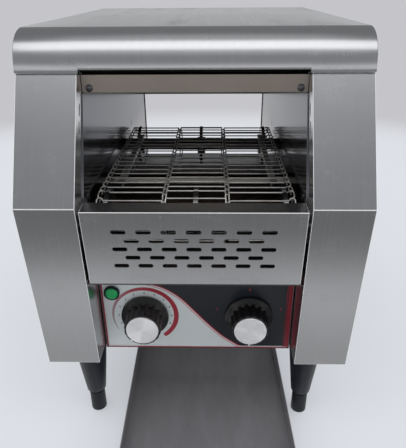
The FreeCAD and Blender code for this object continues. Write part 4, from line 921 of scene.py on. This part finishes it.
def casing():
    """The folded sheets, each with its folds and rims rounded."""
    sheets = {
        "left_side_panel": ("stainless", FOLD), "right_side_panel": ("stainless", FOLD),
        "front_guard": ("stainless", FOLD), "rear_panel": ("stainless", FOLD),
        "left_inner_wall": ("tunnel_steel", 0), "right_inner_wall": ("tunnel_steel", 0),
        # The ceiling plate's near-black finish paints the shade of the gap under the hood
        "front_fascia": ("fascia", FOLD), "ceiling_plate": ("shaded_gap_sheet", 0),
        "column_floor_plates": ("plain_steel", 0), "control_box_back": ("dark_sheet", 0),
        "deck_plate": ("dark_sheet", FOLD), "return_chute": ("plain_steel", FOLD),
        "control_panel": ("panel_steel", FOLD), "upper_reflector": ("reflector", 0),
        "lower_reflector": ("reflector", 0), "belt_rails": ("rail_sheet", 0),
        "cross_bars": ("dark_sheet", 0), "motor_bracket": ("plain_steel", FOLD),
        "toast_tray": ("tray_coat", FOLD), "legs": ("black_plastic", FOLD),
    }
    for node, (finish, fold) in sheets.items():
        is_guard = node == "front_guard"
        softened(node, finish, bodies[node], slots[node], fold, GUARD_RIM if is_guard else RIM,
                 wider_slots if is_guard else None)


def kept_nodes():
    """Everything that keeps its own solid gets its finish here."""
    kept = {
        "quartz": ("upper_heater_tubes", "lower_heater_tube"),
        "ceramic": ("heater_end_caps",), "bronze": ("shaft_bushes",),
        "machined_steel": ("front_shaft", "rear_shaft", "front_belt_sprockets",
                           "rear_belt_sprockets", "motor_shaft", "speed_spindle",
                           "selector_spindle"),
        "chain_steel": ("shaft_sprocket", "motor_sprocket", "drive_chain"),
        "motor_paint": ("gear_motor",), "screw_steel": ("panel_nuts",),
        "black_plastic": ("fan_frame", "fan_rotor", "speed_control", "selector_switch",
                          "lamp_body", "cable_gland", "terminal_block"),
        "foot_plastic": ("foot_front_left", "foot_front_right", "foot_rear_left",
                         "foot_rear_right"),
        "overlay": ("panel_overlay",),
    }
    for finish, nodes in kept.items():
        for node in nodes:
            shown = frame["nodes"][node]
            shown.data.materials.clear()
            shown.data.materials.append(finishes[finish])


# Belt

WIRE_RADIUS = 0.7 * MM
WIRE_BEND = 1.1 * MM
BELT_PITCH = 11.95 * MM
BELT_SPANS = 18
TOOTH_STEP = 30
TURN_TEETH = 6
STRAND_HALF_MM = [
    (26.9, -2.4, 0), (26.9, 2.2, 0), (26.9, 7.35, -2.1), (26.9, 11.35, -2.1),
    (29.9, 11.35, -2.1), (29.9, 7.35, -2.1), (29.9, 2.2, 0), (29.9, 0, 0), (82.5, 0, 0),
    (84.5, -2.6, 0), (87.2, -2.6, 0), (88.4, -0.8, 0), (88.4, 5.45, 0), (86, 7.35, -1.9),
    (86, 10.95, -2.1)]


def middle(node):
    low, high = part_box(node)
    return (low + high) / 2


def belt_places():
    """The place and slant of every strand: top run, front turn, bottom run and rear turn."""
    front = middle("front_shaft")
    rear = middle("rear_shaft")
    radius = BELT_PITCH / 2 / math.sin(math.radians(TOOTH_STEP / 2))
    places = []
    for step in range(BELT_SPANS):
        places.append((0, rear.y - step * BELT_PITCH, rear.z + radius, 0))
    for step in range(TURN_TEETH):
        angle = math.radians(step * TOOTH_STEP)
        places.append((0, front.y - radius * math.sin(angle), front.z + radius * math.cos(angle),
                       step * TOOTH_STEP + TOOTH_STEP / 2))
    for step in range(BELT_SPANS):
        places.append((0, front.y + step * BELT_PITCH, front.z - radius, 180))
    for step in range(TURN_TEETH):
        angle = math.radians(180 + step * TOOTH_STEP)
        places.append((0, rear.y - radius * math.sin(angle), rear.z + radius * math.cos(angle),
                       180 + step * TOOTH_STEP + TOOTH_STEP / 2))
    return places


def wire_belt():
    """One bent strand a pitch, each hooked over the next, all the way round."""
    half = [(-across * MM, -along * MM, out * MM) for across, along, out in STRAND_HALF_MM]
    strand = wire("belt_strand", [(-x, y, z) for x, y, z in reversed(half)] + half,
                  WIRE_RADIUS, WIRE_BEND)
    places = belt_places()
    belt = repeated("wire_belt_strands", strand, [place[:3] for place in places],
                    [(math.radians(place[3]), 0, 0) for place in places], "wire", 60)
    return settle(belt, "wire", bodies["wire_belt"], "wire", "wire_belt")


# Screws


SCREW_RIM = 0.15 * MM


def casing_screws():
    """The heads on the rear panel, the inner walls and the fascia, with rounded rims."""
    for node, finish in {"rear_panel_screws": "screw_steel", "tunnel_screws": "dark_screw"}.items():
        softened(node, finish, "root", slots[node], 0, SCREW_RIM)


# Controls

panel_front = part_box("panel_overlay")[0].y

# The grip and its cap, as reach from the panel and radius. What lies in front of it is negative.
GRIP_BACK = -0.7 * MM
GRIP_FRONT = -23.6 * MM
GRIP_RADIUS = 17.5 * MM
GRIP_RIM = 1.3 * MM
SKIRT_RADIUS = 23.2 * MM
SKIRT_LIP = 0.8 * MM
SHOULDER_MM = [(-3.3, 23.2), (-3.7, 22.8), (-4.4, 21.6), (-5.5, 19.4), (-6.2, 18.6),
               (-7.2, 18.4), (-14, 17.95)]
SOCKETS_MM = [(-23.6, 15.7), (-22.7, 15.6), (-22.7, 0), (-16, 0), (-16, 3.05), (-6, 3.05),
              (-6, 9.5), (-0.7, 9.5)]
CAP_BACK = -22.7 * MM
CAP_FRONT = -24.7 * MM
CAP_RADIUS = 15.35 * MM
CAP_BEVEL = 1.0 * MM
CAP_DISH_MM = [(-24.55, 11), (-24.45, 5), (-24.42, 0)]
TURNED_STEPS = 6

FLUTES = 16
FLUTE_STEPS = 14
FLUTE_RADIUS = 2.4 * MM
FLUTE_CENTRE = 19 * MM
FLUTE_BACK = -6.6 * MM
LEAST_FLUTED_RADIUS = 15.95 * MM

POINTER_HALF_WIDTH = 0.6 * MM
POINTER_START = 15.7 * MM
POINTER_END = 17.2 * MM
POINTER_PROUD = 0.08 * MM
POINTER_SUNK = 0.3 * MM
# Where the pointers stand, in degrees from the right and upwards
SPEED_POINTER = 228
SELECTOR_POINTER = 268


def in_metres(points):
    return [(first * MM, second * MM) for first, second in points]


def fluted(angle, reach, radius):
    """The grip's radius at an angle, which the round flutes cut into."""
    if reach > FLUTE_BACK or radius < LEAST_FLUTED_RADIUS:
        return radius
    off = (angle * FLUTES / (2 * math.pi)) % 1
    off = min(off, 1 - off) * 2 * math.pi / FLUTES
    across = FLUTE_CENTRE * math.sin(off)
    if abs(across) >= FLUTE_RADIUS:
        return radius
    cut = FLUTE_CENTRE * math.cos(off) - math.sqrt(FLUTE_RADIUS ** 2 - across ** 2)
    return min(radius, cut)


def knob(node, cap_node, cap_finish, pointer_angle):
    """A fluted grip on a wide skirt, its spun cap and a white pointer on the rim."""
    body = bodies[node]
    centre = middle(node)
    centre.y = panel_front
    outline = arc((GRIP_BACK - SKIRT_LIP, SKIRT_RADIUS - SKIRT_LIP), SKIRT_LIP, 0, 90, 4)
    outline += in_metres(SHOULDER_MM)
    outline += rounded(GRIP_FRONT, GRIP_RADIUS, GRIP_RIM, TURNED_STEPS) + in_metres(SOCKETS_MM)
    piece = lathe(f"{node}_grip", centre, outline, FLUTES * FLUTE_STEPS, fluted)
    settle(piece, "knob_plastic", body, slots[node], node)
    cap = [(CAP_BACK, 0), (CAP_BACK, CAP_RADIUS)]
    cap += rounded(CAP_FRONT, CAP_RADIUS, CAP_BEVEL, TURNED_STEPS) + in_metres(CAP_DISH_MM)
    piece = lathe(f"{cap_node}_face", centre, cap, 128)
    settle(piece, cap_finish, body, slots[cap_node], cap_node)
    turn = math.radians(pointer_angle)
    outwards = Vector((math.cos(turn), math.sin(turn)))
    aside = Vector((-math.sin(turn), math.cos(turn))) * POINTER_HALF_WIDTH
    start, end = outwards * POINTER_START, outwards * POINTER_END
    axis = Vector((centre.x, centre.z))
    corners = [axis + spot for spot in (start - aside, end - aside, end + aside, start + aside)]
    rim_level = panel_front + GRIP_FRONT
    pointer = slab(f"{node}_pointer", corners, rim_level - POINTER_PROUD,
                   rim_level + POINTER_SUNK)
    settle(pointer, "white_ink", body, slots[node])


def pilot_lamp():
    """A black bezel and a green lens with upright ribs."""
    centre = middle("lamp_lens")
    centre.y = panel_front
    bore, outer, reach = 6.1 * MM, 7.6 * MM, 3 * MM
    edge, lead_in = 0.7 * MM, 0.2 * MM
    outline = [(0, bore), (0, outer)] + rounded(-reach, outer, edge, 5)
    outline += [(-reach, bore + lead_in), (-reach + lead_in, bore)]
    bezel = lathe("lamp_bezel_ring", centre, outline, 72)
    settle(bezel, "black_plastic", bodies["lamp_bezel"], slots["lamp_bezel"], "lamp_bezel")
    radius, rib_pitch, rib = 6.05 * MM, 1.3 * MM, 0.32 * MM
    dome, edge_drop, tip = 0.9 * MM, 1.2 * MM, 4.9 * MM

    def ribbed(x, z):
        away = math.hypot(x, z) / radius
        wave = abs(math.sin(math.pi * x / rib_pitch))
        return tip - dome * away ** 2 - edge_drop * away ** 8 - rib * wave * (1 - away ** 6)

    lens = button("lamp_lens_ribbed", radius, ribbed, 30, 96)
    for vertex in lens.data.vertices:
        vertex.co += centre
    settle(lens, "lens", bodies["lamp_lens"], slots["lamp_lens"], "lamp_lens")


# Printed overlay

INK = 0.03 * MM
INK_GAP = 0.006 * MM
ink_back = panel_front - INK_GAP
low_corner, high_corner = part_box("panel_overlay")
DIAL_X = middle("speed_knob").x
DIAL_Z = middle("speed_knob").z
DIVIDER_MM = [(-90.2, 169), (-78, 168.6), (-64, 167.2), (-52, 164.8), (-41.8, 161.7),
              (-30.1, 157), (-16, 146.6), (-1.9, 130.4), (6.5, 120.4), (22.9, 102.6),
              (38.2, 90.6), (44, 87.1)]
# The two sides of each stripe, sideways from the divider
STRIPES_MM = [("divider_red", -0.3, 1.0, "deep_red_ink"), ("divider_pale", -1.4, -0.3, "pale_ink"),
              ("divider_thin", -2.0, -1.4, "red_ink")]
# Inset and widths of each border: level bars, then upright bars
BORDERS_MM = [("outer_border", 0.1, 1.2, 1.5, "deep_red_ink"),
              ("inner_border", 2.3, 0.4, 0.5, "pale_ink")]
# The two sides of each upright band, from the dark field's right side
RIGHT_BANDS_MM = [("right_band", -3.4, 0.6, 5, "deep_red_ink"),
                  ("right_band_line", -2.6, -1.8, 6, "black_ink")]
FIELD_LAYER, STRIPE_LAYER, BORDER_LAYER = 1, 3, 4
FIELD_MARGIN = 2.0 * MM


def smooth_line(points, steps=8):
    """A curve through the points, which leaves each point along its neighbours' chord."""
    line = []
    for index in range(len(points) - 1):
        before = Vector(points[max(index - 1, 0)])
        start = Vector(points[index])
        end = Vector(points[index + 1])
        after = Vector(points[min(index + 2, len(points) - 1)])
        out = (end - before) / 2
        into = (after - start) / 2
        for step in range(steps):
            s = step / steps
            line.append(start * (2 * s ** 3 - 3 * s ** 2 + 1) + out * (s ** 3 - 2 * s ** 2 + s)
                        + end * (3 * s ** 2 - 2 * s ** 3) + into * (s ** 3 - s ** 2))
    line.append(Vector(points[-1]))
    return line


def beside(line, distance):
    """The line moved sideways, to its left as it runs."""
    moved = []
    for index, here in enumerate(line):
        run = line[min(index + 1, len(line) - 1)] - line[max(index - 1, 0)]
        run.normalize()
        moved.append(here + Vector((-run.y, run.x)) * distance)
    return moved


def ink(name, outline, layer, finish):
    """A printed shape on the overlay. A higher layer lies over a lower one."""
    piece = slab(name, outline, panel_front - INK * layer, ink_back)
    return settle(piece, finish, bodies["panel_overlay"], slots["panel_overlay"])


def oblong(left, bottom, right, top):
    return [(left, bottom), (right, bottom), (right, top), (left, top)]


def border(name, inset, width, side_width, finish):
    """A printed line round the overlay."""
    left, right = low_corner.x + inset, high_corner.x - inset
    bottom, top = low_corner.z + inset, high_corner.z - inset
    bars = {"left": oblong(left, bottom, left + side_width, top),
            "right": oblong(right - side_width, bottom, right, top),
            "bottom": oblong(left, bottom, right, bottom + width),
            "top": oblong(left, top - width, right, top)}
    parts = [slab(f"{name}_{side}", outline, panel_front - INK * BORDER_LAYER, ink_back)
             for side, outline in bars.items()]
    settle(joined(name, parts), finish, bodies["panel_overlay"], slots["panel_overlay"])


def character(text, x, z, height):
    """A printed character as a thin solid whose middle is at x and z."""
    curve = bpy.data.curves.new(f"mark_{text}", "FONT")
    curve.body = text
    curve.size = height / 0.7
    curve.extrude = INK
    curve.resolution_u = 3
    holder = bpy.data.objects.new(f"mark_{text}", curve)
    bpy.context.scene.collection.objects.link(holder)
    graph = bpy.context.evaluated_depsgraph_get()
    mesh = bpy.data.meshes.new_from_object(holder.evaluated_get(graph), depsgraph=graph)
    bpy.data.objects.remove(holder)
    spots = [vertex.co for vertex in mesh.vertices]
    half_across = (min(spot.x for spot in spots) + max(spot.x for spot in spots)) / 2
    half_up = (min(spot.y for spot in spots) + max(spot.y for spot in spots)) / 2
    vertices = [(x + spot.x - half_across, panel_front - INK - spot.z, z + spot.y - half_up)
                for spot in spots]
    return new_piece(f"mark_{text}", vertices, [tuple(face.vertices) for face in mesh.polygons])


DIAL_RADIUS = 26.3 * MM
DIGIT_HEIGHT = 2.7 * MM
DOT_RADIUS = 0.7 * MM
DIAL_MARKS = 12
DIAL_START, DIAL_TURN = 225, 22.5
RING_OUTER = 33 * MM
RING_START, RING_END = 213, -51
RING_STEPS = 132
RING_END_STEPS = 12
# The ring's width in millimetres at angles from its thin start to its end
RING_WIDTHS = [(213, 0.5), (196, 1.5), (180, 2.3), (120, 3.2), (60, 4.2), (0, 4.7), (-51, 4.5)]
SELECTOR_PLACES_MM = {"1": (-31, 8), "2": (0, 31), "3": (31, 8)}
SELECTOR_DIGIT_HEIGHT = 3.2 * MM


def ring_width(angle):
    for (start, wide), (end, narrow) in zip(RING_WIDTHS, RING_WIDTHS[1:]):
        if start >= angle >= end:
            share = (start - angle) / (start - end)
            return (wide + (narrow - wide) * share) * MM
    return RING_WIDTHS[-1][1] * MM


def aimed(angle):
    turn = math.radians(angle)
    return Vector((math.cos(turn), math.sin(turn)))


def dial_ring():
    """The tapering arc round the speed dial, with a rounded end."""
    outer, inner, shares = [], [], []
    for step in range(RING_STEPS + 1):
        angle = RING_START + (RING_END - RING_START) * step / RING_STEPS
        outer.append(aimed(angle) * RING_OUTER)
        inner.append(aimed(angle) * (RING_OUTER - ring_width(angle)))
        shares.append(step / RING_STEPS)
    half = ring_width(RING_END) / 2
    centre = aimed(RING_END) * (RING_OUTER - half)
    cap = arc(centre, half, RING_END, RING_END - 180, RING_END_STEPS)[1:-1]
    outline = outer + cap + list(reversed(inner))
    marks = shares + [1.0] * len(cap) + list(reversed(shares))
    piece = slab("dial_ring", [(DIAL_X + x, DIAL_Z + z) for x, z in outline],
                 panel_front - INK * 2, ink_back)
    along = piece.data.attributes.new("along", "FLOAT", "POINT")
    along.data.foreach_set("value", marks + marks)
    settle(piece, "arc_ink", bodies["panel_overlay"], slots["panel_overlay"])


def dial_marks():
    """Plain numbers 1 to 6 round the speed dial, with a dot between each two."""
    parts = []
    dots = []
    for step in range(DIAL_MARKS):
        turn = math.radians(DIAL_START - DIAL_TURN * step)
        x = DIAL_X + DIAL_RADIUS * math.cos(turn)
        z = DIAL_Z + DIAL_RADIUS * math.sin(turn)
        if step % 2 == 0:
            parts.append(character(str(step // 2 + 1), x, z, DIGIT_HEIGHT))
        else:
            dots.append((x, panel_front, z))
    settle(joined("dial_numbers", parts), "mark_ink", "root", slots["panel_overlay"])
    dot = slab("dot_pattern", circle(DOT_RADIUS, 24), -INK * 2, -INK_GAP)
    piece = repeated("dial_dots", dot, dots, [(0, 0, 0)] * len(dots), "mark_ink")
    settle(piece, "mark_ink", "root", slots["panel_overlay"])


def selector_marks():
    """Plain red numbers beside the selector."""
    centre = middle("selector_knob")
    parts = [character(text, centre.x + x * MM, centre.z + z * MM, SELECTOR_DIGIT_HEIGHT)
             for text, (x, z) in SELECTOR_PLACES_MM.items()]
    settle(joined("selector_numbers", parts), "red_ink", "root", slots["panel_overlay"])


def overlay_print():
    """The dark field with its striped edge, the borders and the dial's markings."""
    line = smooth_line(in_metres(DIVIDER_MM))
    right, top = high_corner.x - FIELD_MARGIN, high_corner.z - FIELD_MARGIN
    left, bottom = low_corner.x + FIELD_MARGIN, low_corner.z + FIELD_MARGIN
    field = [tuple(spot) for spot in line] + [(right, bottom), (right, top), (left, top)]
    ink("dark_field", field, FIELD_LAYER, "black_ink")
    for name, near, far, finish in STRIPES_MM:
        stripe = beside(line, near * MM) + list(reversed(beside(line, far * MM)))
        ink(name, stripe, STRIPE_LAYER, finish)
    for name, inset, width, side_width, finish in BORDERS_MM:
        border(name, inset * MM, width * MM, side_width * MM, finish)
    for name, start, end, layer, finish in RIGHT_BANDS_MM:
        ink(name, oblong(right + start * MM, bottom, right + end * MM, top), layer, finish)
    dial_ring()
    dial_marks()
    selector_marks()


# Stage

FLOOR_REACH = 9.0
FLOOR_SIDES = 96
TABLE = tone(226, 229, 235)
HORIZON = tone(197, 197, 201)
TABLE_GLOW = 0.45
HORIZON_START, HORIZON_END = 0.95, 1.35
FLOOR_TINT = (0.985, 0.99, 1.0)
# The grey level of the floor that metal sees, by how far it lies in front of the part's middle
MIRRORED_FLOOR = [(0.0, 0.9), (0.13, 1.0), (0.165, 0.95), (0.19, 0.46), (0.21, 0.38),
                  (0.28, 0.5), (0.35, 0.62), (0.4, 0.32), (0.46, 0.15), (0.8, 0.24)]


def stage_floor():
    """A pale table that turns to a plain horizon. Metal sees it dimmer in front."""
    ring = [(x, y, 0) for x, y in circle(FLOOR_REACH, FLOOR_SIDES)]
    mesh = bpy.data.meshes.new("table")
    mesh.from_pydata(ring, [], [tuple(range(FLOOR_SIDES))])
    table = bpy.data.objects.new("table", mesh)
    bpy.context.scene.collection.objects.link(table)
    f = Finish("table_finish")
    across, along, _ = f.parts_of(f.point())
    distance = (across ** 2 + along ** 2) ** 0.5
    mirrored = f.read("ShaderNodeLightPath", "Is Glossy Ray")
    far = distance.ease(HORIZON_START, HORIZON_END)
    cloth = f.shader("ShaderNodeBsdfPrincipled", base_color=TABLE, roughness=0.6)
    glow = f.shader("ShaderNodeEmission", color=f.mix(far, TABLE, HORIZON))
    shown = f.layered(far * (1 - TABLE_GLOW) + TABLE_GLOW, cloth, glow)
    stops = [(place, (*(level * share for share in FLOOR_TINT), 1))
             for place, level in MIRRORED_FLOOR]
    mirror_glow = f.shader("ShaderNodeEmission", color=f.ramp(along * -1, stops))
    both = f.layered(mirrored, shown, mirror_glow)
    f.node("ShaderNodeOutputMaterial", None, {"Surface": both})
    mesh.materials.append(f.material)


ROOM = (0.2, 0.205, 0.21, 1.0)
ROOM_FRONT = (0.27, 0.275, 0.285, 1.0)
ROOM_FRONT_LOW = (0.86, 0.86, 0.865, 1.0)
ROOM_FRONT_HIGH = (0.46, 0.465, 0.47, 1.0)
ROOM_ABOVE = (0.42, 0.42, 0.425, 1.0)
BACK_LOW = (0.84, 0.845, 0.86, 1.0)
WINDOW = (1.0, 1.0, 1.0, 1.0)
PLAIN_LIGHT = 0.92
# Between which two heights, or sideways reaches, of a ray's direction each part of the room fades
FRONT_FADE = (0.0, 0.5)
BACK_LOW_FADE = (0.06, 0.2)
FRONT_LOW_FADE = (0.08, 0.25)
FRONT_HIGH_FADE = (0.6, 0.74)
ABOVE_FADE = (0.9, 0.98)
WINDOW_SIDE_FADE = (0.7, 0.8)
WINDOW_SILL_FADE = (0.02, 0.1)
WINDOW_HEAD_FADE = (0.4, 0.5)


def studio():
    """A plain light all round. The camera sees a pale horizon, and metal a plain room."""
    world = bpy.data.worlds.new("studio")
    bpy.context.scene.world = world
    world.use_nodes = True
    w = Finish("studio", world.node_tree)
    seen = w.read("ShaderNodeLightPath", "Is Camera Ray")
    mirrored = w.read("ShaderNodeLightPath", "Is Glossy Ray")
    through = w.read("ShaderNodeLightPath", "Is Transmission Ray")
    across, back, up = w.parts_of(w.read("ShaderNodeTexCoord", "Generated"))
    front = (back * -1).ease(*FRONT_FADE)
    behind = w.mix(up.ease(*BACK_LOW_FADE), BACK_LOW, ROOM)
    ahead = w.mix(up.ease(*FRONT_LOW_FADE), ROOM_FRONT_LOW, ROOM_FRONT)
    ahead = w.mix(up.ease(*FRONT_HIGH_FADE), ahead, ROOM_FRONT_HIGH)
    window = up.ease(*WINDOW_SILL_FADE) * (1 - up.ease(*WINDOW_HEAD_FADE))
    window = across.size().ease(*WINDOW_SIDE_FADE) * window
    around = w.mix(up.ease(*ABOVE_FADE), w.mix(front, behind, ahead), ROOM_ABOVE)
    room = w.mix(window, around, WINDOW)
    shown = w.mix(mirrored, HORIZON, room)
    plain = w.shader("ShaderNodeBackground", color=(1, 1, 1, 1), strength=PLAIN_LIGHT)
    pale = w.shader("ShaderNodeBackground", color=shown, strength=1.0)
    both = w.layered(seen.either(mirrored).either(through), plain, pale)
    w.node("ShaderNodeOutputWorld", None, {"Surface": both})


LAMP_PLACE = Vector((0, -0.6, 1.7))
LAMP_AIM = Vector((0, 0, -1))
LAMP_WIDTH = 2.2
LAMP_DEPTH = 0.76
LAMP_WATTS = 6.0


def ceiling_lamp():
    """A long soft lamp over the front, which draws the bright line on the hood's bend."""
    light = bpy.data.lights.new("ceiling_lamp", "AREA")
    light.shape = "RECTANGLE"
    light.size = LAMP_WIDTH
    light.size_y = LAMP_DEPTH
    light.energy = LAMP_WATTS
    holder = bpy.data.objects.new("ceiling_lamp", light)
    bpy.context.scene.collection.objects.link(holder)
    holder.location = LAMP_PLACE
    holder.rotation_euler = LAMP_AIM.to_track_quat("-Z", "Y").to_euler()


# The camera stands as it did for the photograph
IMAGE_HEIGHT = 448
FOCAL_PIXELS = 471.44
CAMERA_PLACE = (0.01534, -0.48249, 0.41751)
CAMERA_PITCH = 0.47077
CAMERA_ROLL = -0.00754
CAMERA_YAW = -0.02322
SENSOR = 36.0
CLIP_START = 0.02
CLIP_END = 60


def camera():
    """The photograph's camera: a positive pitch looks down."""
    data = bpy.data.cameras.new("camera")
    data.sensor_fit = "AUTO"
    data.sensor_width = SENSOR
    data.lens = FOCAL_PIXELS * SENSOR / IMAGE_HEIGHT
    data.clip_start = CLIP_START
    data.clip_end = CLIP_END
    holder = bpy.data.objects.new("camera", data)
    bpy.context.scene.collection.objects.link(holder)
    ahead = Vector((math.sin(CAMERA_YAW) * math.cos(CAMERA_PITCH),
                    math.cos(CAMERA_YAW) * math.cos(CAMERA_PITCH), -math.sin(CAMERA_PITCH)))
    level = Vector((math.cos(CAMERA_YAW), -math.sin(CAMERA_YAW), 0))
    up = level.cross(ahead)
    right = level * math.cos(CAMERA_ROLL) + up * math.sin(CAMERA_ROLL)
    above = up * math.cos(CAMERA_ROLL) - level * math.sin(CAMERA_ROLL)
    turn = Matrix((right, above, -ahead)).transposed().to_4x4()
    holder.matrix_world = Matrix.Translation(CAMERA_PLACE) @ turn
    bpy.context.scene.camera = holder


hood_cover()
casing()
kept_nodes()
wire_belt()
casing_screws()
knob("speed_knob", "speed_knob_cap", "speed_cap", SPEED_POINTER)
knob("selector_knob", "selector_knob_cap", "selector_cap", SELECTOR_POINTER)
pilot_lamp()
overlay_print()
stage_floor()
studio()
ceiling_lamp()
camera()

bpy.context.scene.view_settings.view_transform = "Standard"
